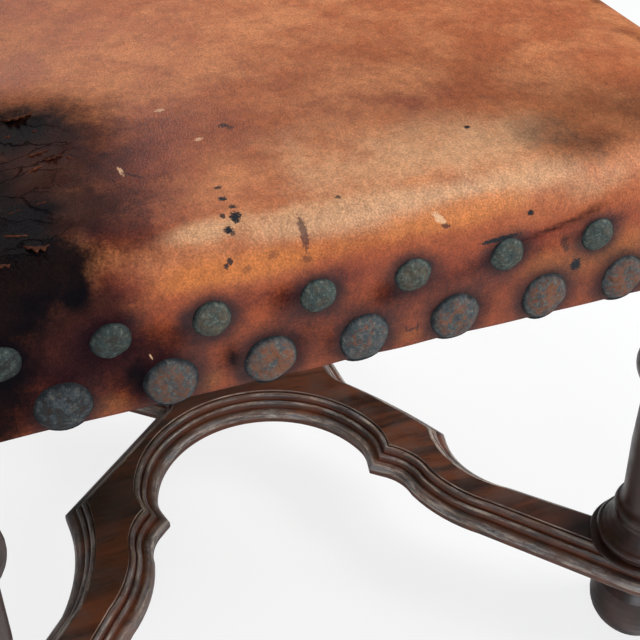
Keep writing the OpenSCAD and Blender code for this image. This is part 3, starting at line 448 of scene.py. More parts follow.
def stretcher_half(name, mirrored):
    """The flat top and bottom are ruled between the two sides, and the moulding is carried round
    the ring that they form, each corner mitred."""
    ring = np.vstack([far_line, near_line[-2:0:-1]])
    after = np.roll(ring, -1, axis=0)
    edge = after - ring
    out = np.c_[edge[:, 1], -edge[:, 0]] / np.linalg.norm(edge, axis=1, keepdims=True)
    joint = (np.abs(ring[:, 1] - seat_half_w) < 0.01) & (np.abs(after[:, 1] - seat_half_w) < 0.01)
    before, joint_before = np.roll(out, 1, axis=0), np.roll(joint, 1)
    mitre = (out + before) / (1 + (out * before).sum(axis=1, keepdims=True))
    # At the joint the moulding slides along the centre line, so that the halves meet flat.
    slant = 1 / np.where(np.abs(out[:, 0]) < 1e-6, 1.0, out[:, 0])
    slide = np.where(joint, np.roll(slant, 1), slant) * (joint != joint_before)
    mitre = np.where((joint | joint_before)[:, None], np.c_[slide, 0 * slide], mitre)
    depth = np.repeat(-moulding[:, 1:, None], len(ring), axis=1)
    sides = np.dstack([ring + mitre * moulding[:, :1, None], depth])
    low, rows, ruled = sides[-1, :, :2], len(far_line), 7
    near_low = np.vstack([low[:1], low[:rows - 1:-1], low[rows - 1:rows]])
    share = np.linspace(0, 1, ruled)[:, None, None]
    flats = [np.insert(far + (near - far) * share, 2, z, axis=-1).reshape(-1, 3)
             for far, near, z in ((far_line, near_line, 0), (low[:rows], near_low, -stretcher_t))]
    plan = np.vstack([sides.reshape(-1, 3), *flats])
    points = np.c_[plan[:, 1] - seat_half_w, -plan[:, 0], plan[:, 2] + stretcher_top]
    on_sides = len(moulding) * len(ring)
    faces = np.vstack([
        grid_faces(len(moulding), len(ring), True), grid_faces(ruled, rows, start=on_sides)[:, ::-1],
        grid_faces(ruled, rows, start=on_sides + ruled * rows)])
    if mirrored:
        points = points * (-1, 1, 1)
    else:
        faces = faces[:, ::-1]
    run = np.cumsum(np.linalg.norm(edge, axis=1))
    rung = np.cumsum(np.append(0, np.linalg.norm(np.diff(moulding, axis=0), axis=1)))
    charts = np.zeros((3, len(plan)))
    charts[:, :on_sides] = np.stack(
        np.broadcast_arrays(worn[:, None], run, rung[:, None])).reshape(3, -1)
    return piece_from(
        name, points, faces, moulded_walnut, "walnut", 30.0, worn=charts[0], run=charts[1],
        rung=charts[2], soot=blots(plan[:, 0], plan[:, 1], soot_spots))


def lathe(profile, turns):
    """Points of a turned form: each row of radius and place along, carried round."""
    angle = np.linspace(0, math.tau, turns, endpoint=False)
    along = np.broadcast_to(profile[:, 1:], (len(profile), turns))
    return np.stack([profile[:, :1] * np.cos(angle), profile[:, :1] * np.sin(angle), along], axis=-1)


moulded_walnut = walnut("walnut_moulded", (0, 0, 0), 0.25, True)
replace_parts(stretcher_half("stretcher_half_left", False), "stretcher_left")
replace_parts(stretcher_half("stretcher_half_right", True), "stretcher_right")
dowel = lathe(np.array([(0, -12), (5, -12), (5, 12), (0, 12)]), 24)[..., (2, 0, 1)]
dowels = np.stack([dowel + (0, y, stretcher_top - stretcher_t / 2) for y in (-60, -16, 26)])
dowel_faces = grid_faces(4, 24, True, copies=3)
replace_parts(piece_from("joint_dowels", dowels, dowel_faces, walnut_across, "walnut"), "stretcher_dowels")

# Seat frame: beech rails tenoned into the leg blocks, with glued and screwed corner blocks.
# Only their inner faces show, from below.
beech, tree, shader, here = new_finish("beech_bare", Roughness=0.7)
grain = use(tree, wood_grain, Vector=here)
dust = use(tree, patches, Vector=here, Scale=18.0, From=0.4, To=0.7)[0]
tone = blend(grain["Figure"], rgb(150, 110, 72), rgb(186, 146, 102))
tone = blend(times(dust, 0.55), tone, rgb(96, 76, 58))
wire(shader, {"Base Color": tone, "Normal": bump(grain["Pores"], 0.3, 0.0004)})
finish_nodes(beech, "front_seat_rail", "rear_seat_rail", "left_seat_rail", "right_seat_rail",
             "corner_blocks")
steel, tree, shader, here = new_finish("screw_steel", Metallic=1.0)
dull = use(tree, patches, Vector=here, Scale=400.0, From=0.4, To=0.6)[0]
wire(shader, {"Base Color": blend(dull, rgb(122, 116, 106), rgb(92, 66, 48)),
              "Roughness": spread(dull, 0, 1, 0.4, 0.75)})
finish_nodes(steel, "corner_block_screws")

# Webbing and hessian: jute strips woven over the frame, and a loose sacking above them.
# They carry the stuffing and show only from below and between the back's posts.
weave, given, result = group("plain weave", ["Vector"], ["Threads"], ["Height", "Shade"])
parts = put(weave, "SeparateXYZ", {"Vector": given["Vector"]})
ribs = [calc("SINE", times(parts[axis], given["Threads"])) for axis in "XY"]
crossing = times(*ribs)
wire(result, {"Height": calc("ABSOLUTE", crossing),
              "Shade": spread(crossing, -1, 1)})


def jute(name, turn, threads, dark, light):
    """Coarse jute cloth; threads is the spacing of its weave in radians per metre."""
    made, tree, shader, here = new_finish(name, Roughness=0.95)
    cloth = use(tree, weave, Vector=shifted(here, Rotation=turn), Threads=threads)
    soil = use(tree, patches, Vector=here, Scale=14.0, From=0.4, To=0.7)[0]
    tone = blend(cloth["Shade"], dark, light)
    tone = blend(times(soil, 0.5), tone, rgb(84, 68, 50))
    wire(shader, {"Base Color": tone, "Normal": bump(cloth["Height"], 0.6, 0.0008)})
    return made


level_cloth, leaning_cloth = (0, 0, 0), (math.radians(98.5), 0, 0)
webbing = (2400, rgb(118, 96, 66), rgb(170, 146, 108))
sacking = (1500, rgb(100, 80, 54), rgb(150, 126, 90))
finish_nodes(jute("jute_webbing", level_cloth, *webbing), "seat_webbing")
finish_nodes(jute("jute_sacking", level_cloth, *sacking), "seat_hessian")
finish_nodes(jute("jute_back_webbing", leaning_cloth, *webbing), "back_webbing")
finish_nodes(jute("jute_back_sacking", leaning_cloth, *sacking), "back_hessian")

# Seat: one hide over the stuffing, with a square cut out at each leg. It is folded down over
# the rolled edge on each side and nailed to the rails.
hem_z, edge_h, roll_r, crown = 353.0, 61.74, 26.0, 17.0
notch_in = 56.8
roll_z = hem_z + edge_h + roll_r
reach_x = seat_half_w - roll_r + roll_r * math.pi / 2 + edge_h
reach_y = seat_half_d - roll_r + roll_r * math.pi / 2 + edge_h
large_row, small_row = 13.5, 47.5
side_large = np.array([-173, -116.7, -62, -8, 47, 103.7, 155.8, 201.6])
side_small = np.array([-199.5, -145.2, -93, -34.9, 19.5, 76.5, 133.9, 187.8])
cross_large = (np.arange(9) - 4.0) * 55.0
cross_small = (np.arange(8) - 3.5) * 55.0


def folded(distance, half):
    """Where a point of the hide at a distance from its middle comes to lie, out and down, and the
    angle turned there: flat to the roll, round a quarter of it, then straight down."""
    far = np.abs(distance)
    turn = np.clip((far - half + roll_r) / roll_r, 0, math.pi / 2)
    hang = np.maximum(far - half + roll_r - roll_r * math.pi / 2, 0)
    out = np.sign(distance) * (np.minimum(far, half - roll_r) + roll_r * np.sin(turn))
    return out, roll_r * (1 - np.cos(turn)) + hang, turn


def span(*marks):
    """Grid lines from mark to mark, each stretch with its own count of steps."""
    stretches = zip(marks[::2], marks[1::2], marks[2::2])
    lines = [np.linspace(a, b, n, endpoint=False) for a, n, b in stretches]
    return np.concatenate(lines + [[marks[-1]]])


edge_x, edge_y = seat_half_w - notch_in, seat_half_d - notch_in
lines_p = span(-reach_x, 44, -edge_x, 36, -150, 24, 0, 40, edge_x, 26, reach_x)
lines_q = span(-reach_y, 26, -edge_y, 80, edge_y, 44, reach_y)
p, q = np.meshgrid(lines_p, lines_q, indexing="ij")


def hide_surface(p, q, hang=0.0):
    """Places on the hide from distances p and q across and along its middle, with a gentle crown
    1 - |x/a|^2.4 each way and shallow waves on top, and the direction out of it."""
    x, drop_x, turn_x = folded(p, seat_half_w)
    y, drop_y, turn_y = folded(q, seat_half_d)
    rise = 1 - np.abs(x / (seat_half_w + 2)) ** 2.4
    rise = crown * rise * (1 - np.abs(y / (seat_half_d + 2)) ** 2.4)
    wave = 0.5 * np.sin(x / 31 + 1.3 * np.sin(y / 47)) * np.sin(y / 37 + 1.1 * np.sin(x / 59))
    on_end = np.abs(q) > edge_y
    out_x = np.where(on_end, 0, np.sign(p) * np.sin(turn_x))
    out_y = np.where(on_end, np.sign(q) * np.sin(turn_y), 0)
    out = np.stack([out_x, out_y, np.cos(np.where(on_end, turn_y, turn_x))], axis=-1)
    return np.stack([x, y, roll_z - drop_x - drop_y + rise + wave * (1 - hang)], axis=-1), out


inside = (np.abs(p) <= edge_x + 0.01) | (np.abs(q) <= edge_y + 0.01)
faces = grid_faces(len(lines_p), len(lines_q))
faces = faces[inside.ravel()[faces].all(axis=1)]

# Height above the hem and place along each side, for what is painted on the folded-down part.
# Along runs forward on the chair's sides and to its right on the front and rear.
height_side = reach_x - np.abs(p)
height_end = reach_y - np.abs(q)
rng = np.random.default_rng(7)


def rings(along, height, large, small, strength):
    """Dark stain round each nail of a side, deepest under the rim and drawn out below it, partly
    painted shadow, with a narrow ring of painted shadow close round each head.
    """
    rows = [(a - 2, large_row - 1, 24, 22, 0, strength - 0.0006 * a) for a in large]
    rows += [(a - 3, small_row - 1, 20, 17, 0, strength - 0.0006 * a) for a in small]
    # Painted shadow: a narrow dark ring close round each head.
    rows += [(a, large_row, 16.5, 16.5, 0, 0.95) for a in large]
    rows += [(a, small_row, 12, 12, 0, 0.95) for a in small]
    return blots(along, height, rows)


def random_spots(count, *ranges):
    """Stains of no known place: one range for each column."""
    return np.column_stack([rng.uniform(low, high, count) for low, high in ranges])


# Ink: blue-black. The rows at (-134, 21) and (-84, 20) are painted shadow just left of two large nails.
ink_left = [
    (-212, 150, 44, 110, 0, 0.9), (-160, 218, 46, 40, 0, 0.75), (-169, 129, 22, 26, 0, 0.75),
    (-188, 84, 26, 20, 0, 0.9), (-206, 60, 26, 60, 0, 0.7), (-190, 98, 34, 17, 0, 0.95),
    (-165, 92, 26, 9, 0, 0.85), (-158, 78, 8, 12, 0, 0.95), (-192, 80, 16, 14, 0, 0.95),
    (-134, 21, 9, 16, 0, 0.8), (-206, 30, 20, 50, 0, 0.75), (-170, 128, 16, 5, 0.2, 0.6),
    (-84, 20, 7, 11, 0, 0.75), (-48, 12, 9, 9, 0, 0.3), (108, 59, 36, 3.5, 0.22, 0.7),
    (128, 66, 10, 4, 0.2, 0.4), (-28, 14, 6, 9, 0, 0.5), (-55, 52, 7, 9, 0, 0.5), (2, 40, 7, 9, 0, 0.5),
    (-120, 40, 9, 10, 0, 0.5), (-150, 50, 10, 14, 0, 0.5)]
plum_left = [
    (-196, 170, 76, 90, 0, 0.97), (-150, 190, 44, 50, 0.1, 0.85), (-150, 125, 40, 28, 0, 0.85),
    (-150, 66, 15, 14, 0, 0.8), (120, 114, 34, 24, 0, 0.5), (190, 112, 30, 20, 0, 0.35),
    (-170, 50, 40, 34, 0, 0.9), (-136, 24, 28, 22, 0, 0.75), (-120, 40, 18, 12, 0, 0.6),
    (-50, 50, 24, 11, 0, 0.5), (-45, 24, 24, 12, 0, 0.45), (8, 38, 22, 12, 0, 0.45),
    (60, 14, 18, 10, 0, 0.35), (140, 98, 26, 13, 0, 0.46), (150, 134, 40, 20, 0, 0.25),
    (60, 44, 30, 7, 0.2, 0.5), (120, 50, 40, 6, 0.2, 0.5), (-124, 100, 18, 14, 0, 0.35)]
rust_left = [
    (-84, 180, 44, 60, 0, 0.5), (75, 160, 34, 30, 0, 0.4), (-134, 72, 12, 8, 0, 0.6),
    (-118, 150, 30, 60, 0, 0.75), (-130, 102, 24, 14, 0, 0.9), (-140, 78, 16, 8, 0, 0.8),
    (10, 170, 90, 30, 0, 0.3), (-178, 76, 13, 6, 0, 0.8), (-80, 52, 40, 14, 0, 0.55),
    (-20, 56, 30, 10, 0.1, 0.7), (30, 48, 30, 12, 0.15, 0.7), (86, 52, 40, 9, 0.2, 0.85),
    (0, 26, 40, 16, 0, 0.4), (70, 30, 30, 14, 0, 0.5), (140, 56, 24, 10, 0.25, 0.4),
    (186, 100, 20, 8, 0.2, 0.6), (20, 180, 60, 30, 0, 0.25)]
orange_left = [
    (-98, 73, 26, 8, 0.05, 0.85), (-62, 72, 30, 7, 0.05, 0.8), (-30, 72, 40, 6, 0, 0.35),
    (-150, 8, 16, 8, 0, 0.8), (-98, 8, 12, 8, 0, 0.7), (48, 77, 60, 8, 0.04, 0.85),
    (-182, 12, 12, 12, 0, 0.5), (150, 34, 40, 16, 0.1, 0.7), (99, 34, 28, 13, 0, 0.5),
    (20, 8, 14, 6, 0, 0.5), (10, 112, 50, 16, 0, 0.3)]
# Painted sheen: a pale band along the roll and over the top beside it, where the light catches the left
# side.
pale_left = [
    (-92, 92, 28, 6, 0.03, 0.85), (60, 82, 70, 10, 0.1, 0.7), (130, 74, 36, 9, 0.2, 0.5),
    (-10, 84, 50, 10, 0, 0.6), (-45, 90, 30, 7, 0, 0.6), (20, 112, 70, 20, 0.02, 0.6),
    (90, 118, 50, 26, 0, 0.6), (60, 140, 60, 30, 0, 0.45), (-20, 150, 40, 36, 0, 0.4),
    (0, 86, 60, 7, 0, 0.5), (70, 84, 40, 7, 0, 0.5)]
split_left = [
    (-190, 180, 48, 70, 0, 1.0), (-165, 195, 30, 34, 0.1, 0.7), (-175, 110, 26, 20, 0, 0.8)]
left, on_side, on_end = p < 0, np.abs(q) <= edge_y + 0.01, np.abs(q) > edge_y
above_hem = np.where(on_end, height_end, np.minimum(height_side, height_end))
hang = np.clip((84 - above_hem) / 27, 0, 1)
places, out = hide_surface(p, q, hang)
x, u = places[..., 0], -places[..., 1]


def stained(rows_left, count, top, strength=1.0):
    """One layer, of stain or of painted sheen and shadow: from its table on the left side, scattered
    elsewhere.
    """
    ranges = ((-5, top), (14, 60), (6, 22), (-0.3, 0.3), (0.3, 0.75))
    rows_right = random_spots(count, (-230, 230), *ranges)
    rows_end = random_spots(count + 3, (-270, 270), *ranges)
    right = strength * blots(u, height_side, rows_right)
    beside = np.where(left, blots(u, height_side, rows_left), right)
    beyond = strength * blots(x, height_end, rows_end)
    side_share = np.clip((330 - height_side) / 60, 0, 1) * on_side
    end_share = np.clip((150 - height_end) / 60, 0, 1) * (np.abs(p) <= edge_x + 0.01)
    return np.where(on_end, beyond, 1 - (1 - beside * side_share) * (1 - 0.8 * beyond * end_share))


ink = stained(ink_left, 10, 110, 0.8)
plum = stained(plum_left, 12, 120)
rust = stained(rust_left, 16, 90)
orange = stained(orange_left, 10, 90)
pale = stained(pale_left, 4, 200) * ~on_end
split = stained(split_left, 5, 160, 0.7)
halo = np.where(on_end, rings(x, height_end, cross_large, cross_small, 0.8),
                rings(u, height_side, side_large, side_small, 0.62) * on_side)

# The hide sinks a little at each nail, and along its hem it isn't quite straight.
frill = 0.35 * np.sin(u / 17 + 3 * np.sin(u / 41)) * np.exp(-(height_side / 26) ** 2) * on_side
points = places + out * (frill - 0.6 * halo)[..., None]
along_left = np.where(left & on_side & ~on_end, u, 900.0)

hide, tree, shader, here = new_finish("old_hide", Specular_IOR_Level=0.3)


def swing(value, share):
    """A noise made to swing round nought, by share in all."""
    return times(calc("SUBTRACT", value, 0.5), share)


ragged = noise(here, 48, 8, 0.66)
tiny = noise(here, 480, 4, 0.75)
broken = plus(swing(ragged, 1.5), swing(tiny, 0.6))


def torn(label, low, high, share):
    """A stain, painted sheen or painted shadow carried by the mesh, with its soft edge torn by noise."""
    return spread(plus(read(tree, label), times(broken, share)), low, high)


mottle = noise(here, 14, 6, 0.65)
cloud = noise(here, 42, 6, 0.7, (1, 0.7, 1), (3, 1, 2))
pebbles = put(tree, "TexVoronoi", {"Vector": here, "Scale": 900.0})["Distance"]
fine = noise(here, 900, 3, 0.8, (1, 0.8, 1))
tone = blend(spread(mottle, 0.36, 0.64), rgb(170, 94, 54), rgb(196, 124, 78))
tone = blend(times(spread(cloud, 0.46, 0.66), 0.45), tone, rgb(150, 80, 50))
# Painted sheen: pale lightens the left side's roll and the top beside it; on the other sides and the back it
# makes paler patches.
tone = blend(times(torn("pale", 0.2, 0.8, 0.6), 0.8), tone, rgb(206, 158, 116))
tone = blend(times(read(tree, "hang"), 0.9), tone, rgb(158, 70, 34))
# Layers of colour, bottom first: label, where it starts and is full, how much noise tears its edge, its
# strength and its colour. halo is stain with painted shadow close round the nail heads, and ink holds two
# painted shadows beside nails.
for stain, low, high, share, strength, colour in (
        ("orange", 0.15, 0.8, 0.5, 0.85, rgb(198, 114, 54)),
        ("rust", 0.2, 0.9, 0.6, 0.9, rgb(118, 44, 26)),
        ("plum", 0.13, 0.88, 0.5, 0.92, rgb(39, 20, 22)),
        ("halo", 0.12, 0.7, 0.3, 0.9, rgb(34, 13, 20)),
        ("ink", 0.28, 0.85, 0.4, 0.96, rgb(3, 4, 9))):
    tone = blend(times(torn(stain, low, high, share), strength), tone, colour)
speckled = times(spread(fine, 0.36, 0.64, 0.76, 1.2), spread(pebbles, 0.1, 0.8, 1.07, 0.9))
blotchy = noise(here, 150, 6, 0.8)
speckled = times(speckled, spread(blotchy, 0.38, 0.62, 0.84, 1.1))
tone = vectors("SCALE", tone, speckled, "Scale")

# Marks of the left side: place along, height, half length, half height, slope in radians,
# strength and colour. Each is a fleck, an oval with an uneven edge.
black, purple, bare = rgb(8, 12, 20), rgb(58, 24, 26), rgb(222, 178, 138)
marks = [
    (-73, 121, 2.0, 1.6, 0, 0.9, black), (-74, 111, 2.2, 2, 0, 1, black),
    (-71, 103, 2.2, 1.8, 0, 0.9, black), (-78, 98, 1.8, 1.5, 0, 0.9, black),
    (-72, 96, 3.6, 2.8, 0.9, 1, black), (-78, 90, 2.4, 1.8, 0, 1, black),
    (-76, 88, 1.5, 1.2, 0, 0.8, black), (-81, 76, 1.8, 1.6, 0, 0.9, black),
    (-83, 74, 1.5, 1.3, 0, 0.9, black), (-52, 178, 3.2, 2.2, 0, 0.8, black),
    (-49, 175, 2.4, 1.6, 0, 0.6, black), (-16, 96, 1.4, 1.2, 0, 0.8, black),
    (-40, 82, 2.2, 9, 0.0, 0.75, purple), (-41, 70, 3.4, 1.8, 0, 0.5, purple),
    (-58, 75, 3, 2.2, 0.3, 0.4, purple), (-73, 71, 2.6, 1.8, 0.6, 0.4, purple),
    (-117, 152, 1.2, 4.5, 0.1, 0.8, bare), (-112, 146, 7, 1.0, -0.75, 0.8, purple),
    (-81, 206, 2.8, 1.8, 0, 0.6, bare), (-69, 169, 2.6, 1.6, 0, 0.7, bare),
    (35, 76, 4.6, 2.0, -0.8, 0.8, bare), (38, 72, 3.0, 1.2, -0.3, 0.8, purple),
    (71, 58.5, 13, 1.7, 0.06, 1.1, black), (122, 30, 3.6, 4.2, 0, 1.1, black),
    (112, 48, 2.5, 4, 0, 0.6, black), (114, 43, 2.2, 2.6, 0, 0.6, black), (89, 70, 2, 1.6, 0, 1, black),
    (78, 135, 2, 1.5, 0, 1, black), (-126, 32, 0.5, 2.2, 0.3, 0.8, bare),
    (20, 11, 4, 0.7, 0.1, 0.8, purple), (24, 12, 0.7, 3, 0, 0.8, purple), (17, 13, 0.6, 2.4, 0, 0.8, purple)]
fleck, given, result = group("fleck", ["Chart", "Place", "Size"], ["Uneven", "Slope"], ["Mask"])
moved = vectors("SUBTRACT", given["Chart"], given["Place"])
swing_back = {"Vector": moved, "Angle": times(given["Slope"], -1.0)}
swung = put(fleck, "VectorRotate", swing_back, rotation_type="Z_AXIS")[0]
sized = vectors("DIVIDE", swung, given["Size"])
distance = put(fleck, "VectorMath", {0: sized}, operation="LENGTH")["Value"]
distance = plus(distance, times(given["Uneven"], 2.4))
wire(result, {"Mask": spread(distance, 1.15, 0.7)})
chart = put(tree, "CombineXYZ", {0: read(tree, "along"), 1: read(tree, "high")})[0]
uneven = calc("SUBTRACT", noise(here, 700, 3, 0.7), 0.5)
for mark_u, mark_h, long, tall, slope, strength, colour in marks:
    oval = {"Place": (mark_u, mark_h, 0), "Size": (long, tall, 1), "Slope": slope}
    mask = use(tree, fleck, Chart=chart, Uneven=uneven, **oval)[0]
    tone = blend(times(mask, strength, True), tone, colour)

# Old splits: the dry rear corner has lifted in long scales that step up and down, with painted
# shade darkening the cracks between them.
drift = put(tree, "TexNoise", {"Vector": here, "Scale": 26.0, "Detail": 5.0})["Color"]
drift = vectors("ADD", here, vectors("SCALE", drift, 0.045, "Scale"))
drawn = shifted(drift, Scale=(1, 0.24, 1))
cells = {"Vector": drawn, "Scale": 52.0}
scales = put(tree, "TexVoronoi", cells)["Color"]
cracks = put(tree, "TexVoronoi", cells, feature="DISTANCE_TO_EDGE")["Distance"]
dry = torn("split", 0.35, 0.75, 0.5)
steps_up = put(tree, "SeparateColor", {"Color": scales})[0]
gap = times(spread(cracks, 0.03, 0.0), dry)
# Painted shade: the cracks darkened to near black.
tone = blend(times(gap, 0.6), tone, rgb(8, 6, 9))
dark = plus(read(tree, "ink"), read(tree, "plum"), True)
creases = noise(here, 130, 5, 0.7, (1, 0.5, 1))
height = plus(times(pebbles, -0.2), times(creases, 0.5))
height = plus(height, times(fine, 0.22))
height = plus(height, times(times(steps_up, dry), 1.1))
height = calc("SUBTRACT", height, times(gap, 1.2))
rough = plus(mottle, times(tiny, 0.3))
wire(shader, {"Base Color": tone, "Roughness": spread(rough, 0.5, 0.9, 0.44, 0.66),
              "Specular IOR Level": spread(dark, 0, 1, 0.34, 0.04),
              "Normal": bump(height, 0.8, 0.0012)})


def thicken(made, thickness, offset=-1):
    """Gives a skin its thickness in metres: inward, or with offset 0 both ways."""
    solid = made.modifiers.new("thickness", "SOLIDIFY")
    solid.thickness = thickness
    solid.offset = offset


seat_cover = piece_from(
    "seat_cover", points, faces, hide, "leather", 60.0, ink=ink, plum=plum, rust=rust, orange=orange,
    halo=halo, pale=pale, hang=hang, split=split, along=along_left, high=height_side)
thicken(seat_cover, 0.0024)
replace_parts(seat_cover, "seat_leather", "seat_stuffing")

# Lifted scales: where the dry corner has torn, small tongues of hide stand up over dark slits.
# Each row is the two ends of its root as place along and height, its width and its lift.
tongues = np.array([
    (-168, 236, -147, 238, 15, 5.5), (-164, 187, -143, 191, 5, 3), (-148, 191, -136, 194, 2.6, 1.6),
    (-154, 181, -140, 184, 8, 4), (-143, 182, -134, 172, 4, 2.4), (-164, 171, -152, 177, 5, 3),
    (-170, 212, -162, 214, 4, 2.4), (-184, 136, -166, 140, 3.4, 2), (-169, 139, -152, 142, 3.4, 2),
    (-188, 120, -169, 114, 4, 2.6), (-178, 110, -163, 105, 10, 4), (-148, 222, -137, 228, 2.4, 1.6),
    (-140, 227, -132, 234, 2.2, 1.4), (-154, 213, -148, 214, 4, 2.4), (-158, 110, -149, 108, 5, 2),
    (-194, 100, -182, 97, 5, 2.6), (-192, 160, -178, 164, 5, 2.6), (-194, 190, -180, 196, 5, 3),
    (-176, 150, -164, 152, 3, 1.6), (-190, 210, -176, 214, 5, 3)])
grid_a, grid_b = 17, 8
a, b = np.meshgrid(np.linspace(0, 1, grid_a), np.linspace(0, 1, grid_b), indexing="ij")
start_u, start_h, end_u, end_h, width, lift = tongues.T[..., None, None]
along_root = start_u + (end_u - start_u) * a
high_root = start_h + (end_h - start_h) * a
lean_over = np.sin(math.pi * a ** 0.8) ** 0.7 * (1 + 0.16 * np.sin(9 * a + along_root))
spots, outs = hide_surface(high_root - width * b * lean_over - reach_x, -along_root)
points = spots + outs * (0.35 + lift * lean_over * b ** 1.6)[..., None]
torn_scales = piece_from(
    "lifted_scales", points, grid_faces(grid_a, grid_b, copies=len(tongues)), hide, "leather", 60.0,
    ink=0.15, plum=0.75, rust=0, orange=0, halo=0, pale=0, hang=0, split=0, along=900.0, high=0)
thicken(torn_scales, 0.0011, 0)

# Nails: cast heads, hammered a little out of round. The lower row is large and of iron, the
# upper one small and of brass gone green.


def nail_heads(name, spots, alongs, outs, radius, rise, finish, slot, seed):
    """Low domes: at the share s of its radius a head stands 0.7 + (rise - 0.7) (1 - s^3)^0.8 high,
    with shallow dents, a rim that isn't quite round and a narrow skirt below it that lies on the
    hide as a painted shadow round the head. Spots are the middles of the heads' undersides."""
    rng = np.random.default_rng(seed)
    count, turns = len(spots), 36
    s = np.concatenate([[0, 0.12], np.linspace(0.28, 0.9, 6), [0.97, 1.0]])[:, None]
    angle = np.linspace(0, math.tau, turns, endpoint=False)
    chance = rng.uniform(0, 1, (8, count, 1, 1))
    wobble = 0.02 * np.cos(2 * angle + 6.3 * chance[0]) + 0.012 * np.cos(5 * angle + 6.3 * chance[1])
    wide = radius * (1 + wobble + 0.02 * (chance[2] - 0.5))
    a, b = wide * s * np.cos(angle), wide * s * np.sin(angle)
    k = 3.1 / radius
    dents = np.sin(k * a + 9 * chance[3]) * np.sin(k * b + 9 * chance[4])
    dents += 0.6 * np.sin(2.1 * k * a + 1.3 * k * b + 9 * chance[5])
    lift = 0.7 + (rise - 0.7) * (1 - s ** 3) ** 0.8 + 0.05 * radius * dents * (1 - s ** 6)
    dome = np.stack([a, b, lift + 0.3 * (chance[6] - 0.5)], axis=-1)
    dome[:, -2, :, 2] = 0.5 * dome[:, -2, :, 2] + 0.5
    dome[:, -1, :, 2] = 0.7
    rim = dome[:, -1:] * (1, 1, 0)
    # The skirt takes the dark rim colour: a painted shadow lying on the hide round each head.
    skirt = [rim + (0, 0, 0.45), rim * 1.1 + (0, 0, 0.36), rim * 0 - (0, 0, 0.8)]
    tips = np.concatenate([dome, *skirt], axis=1)
    frames = np.stack([alongs, np.cross(outs, alongs), outs], axis=1)
    points = spots[:, None, None] + tips @ frames[:, None]
    faces = grid_faces(tips.shape[1], turns, True, copies=count)[:, ::-1]
    outward = np.append(s, (1, 1, 1))[:, None]
    grime = np.clip((spots[:, 1] - 90) / 80, 0, 1)[:, None, None]
    shades = np.broadcast_arrays(chance[7], outward, grime, points[..., 0])
    return piece_from(
        name, points, faces, finish, slot, 50.0, chance=shades[0], out=shades[1], grime=shades[2])


def round_seat(side_places, end_places, row):
    """Spots, directions along and directions out of one row of nails round the seat."""
    n, m = len(side_places), len(end_places)
    x = np.concatenate([np.repeat([-seat_half_w, seat_half_w], n), end_places, end_places])
    y = np.concatenate([-side_places, -side_places, np.repeat([-seat_half_d, seat_half_d], m)])
    spots = np.c_[x, y, np.full(len(x), hem_z + row)]
    outs = np.repeat([(-1, 0, 0), (1, 0, 0), (0, -1, 0), (0, 1, 0)], [n, n, m, m], axis=0)
    return spots, np.cross((0, 0, 1), outs), outs


def old_metal(name, base, light, crust, rim, crusty):
    """Dull nail metal: mottled, with painted shade darkening its rim and skirt, and a crust in its
    middle that differs from head to head. The mesh carries chance, one a head, out, 1 at the rim, and
    grime."""
    made, tree, shader, here = new_finish(name, Metallic=0.1, Specular_IOR_Level=0.3)
    out = read(tree, "out")
    cloudy = noise(here, 190, 7, 0.78)
    gritty = noise(here, 420, 7, 0.82)
    tone = blend(spread(gritty, 0.5, 0.4), base, light)
    own = plus(times(gritty, 0.6), times(read(tree, "chance"), 0.1))
    level = plus(times(cloudy, 0.6), own)
    rusty = times(spread(level, 0.64, 0.7), spread(out, 0.95, 0.6))
    tone = blend(times(rusty, crusty), tone, crust)
    tone = blend(times(spread(gritty, 0.55, 0.62), 0.6), tone, rim)
    grimy = times(read(tree, "grime"), spread(cloudy, 0.4, 0.55, 0.25, 0.8))
    tone = blend(grimy, tone, rim)
    # Painted shade: near black at the rim of the head and all over its skirt.
    edge = spread(plus(out, swing(cloudy, 0.3)), 0.8, 0.95)
    tone = blend(times(edge, 0.95), tone, rim)
    wire(shader, {"Base Color": tone, "Roughness": spread(level, 0.45, 0.75, 0.4, 0.75),
                  "Normal": bump(gritty, 0.6, 0.0009)})
    return made


iron = old_metal("nail_iron", rgb(58, 68, 72), rgb(106, 98, 88), rgb(138, 80, 46), rgb(8, 14, 19), 0.7)
brass = old_metal("nail_brass", rgb(52, 66, 64), rgb(98, 100, 88), rgb(104, 78, 52), rgb(5, 12, 16), 0.4)
large_spots = round_seat(side_large, cross_large, large_row)
large_nails = nail_heads("large_nail_heads", *large_spots, 15.6, 7.4, iron, "large_nail_iron", 3)
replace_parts(large_nails, "seat_nails_large")
small_spots = round_seat(side_small, cross_small, small_row)
small_nails = nail_heads("small_nail_heads", *small_spots, 11.3, 6.0, brass, "small_nail_brass", 5)
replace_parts(small_nails, "seat_nails_small")

# Arms: walnut, sawn to a curve and rounded, each ending in a turned scroll in front of its post.
# They are tenoned into the raked rear posts and rest level on the turned front ones.
rake, post_y, block_top = math.radians(8.5), leg_y, roll_z
arm_top, arm_rear_z, post_d = 668.0, 700.0, 36.0
arm_mid, level_y, scroll_y, scroll_z = arm_top - 15, 34 - leg_y, -leg_y - 48, arm_top - 22
arm_join_y = post_y + (arm_rear_z - block_top) * math.tan(rake) - post_d / 2 / math.cos(rake)


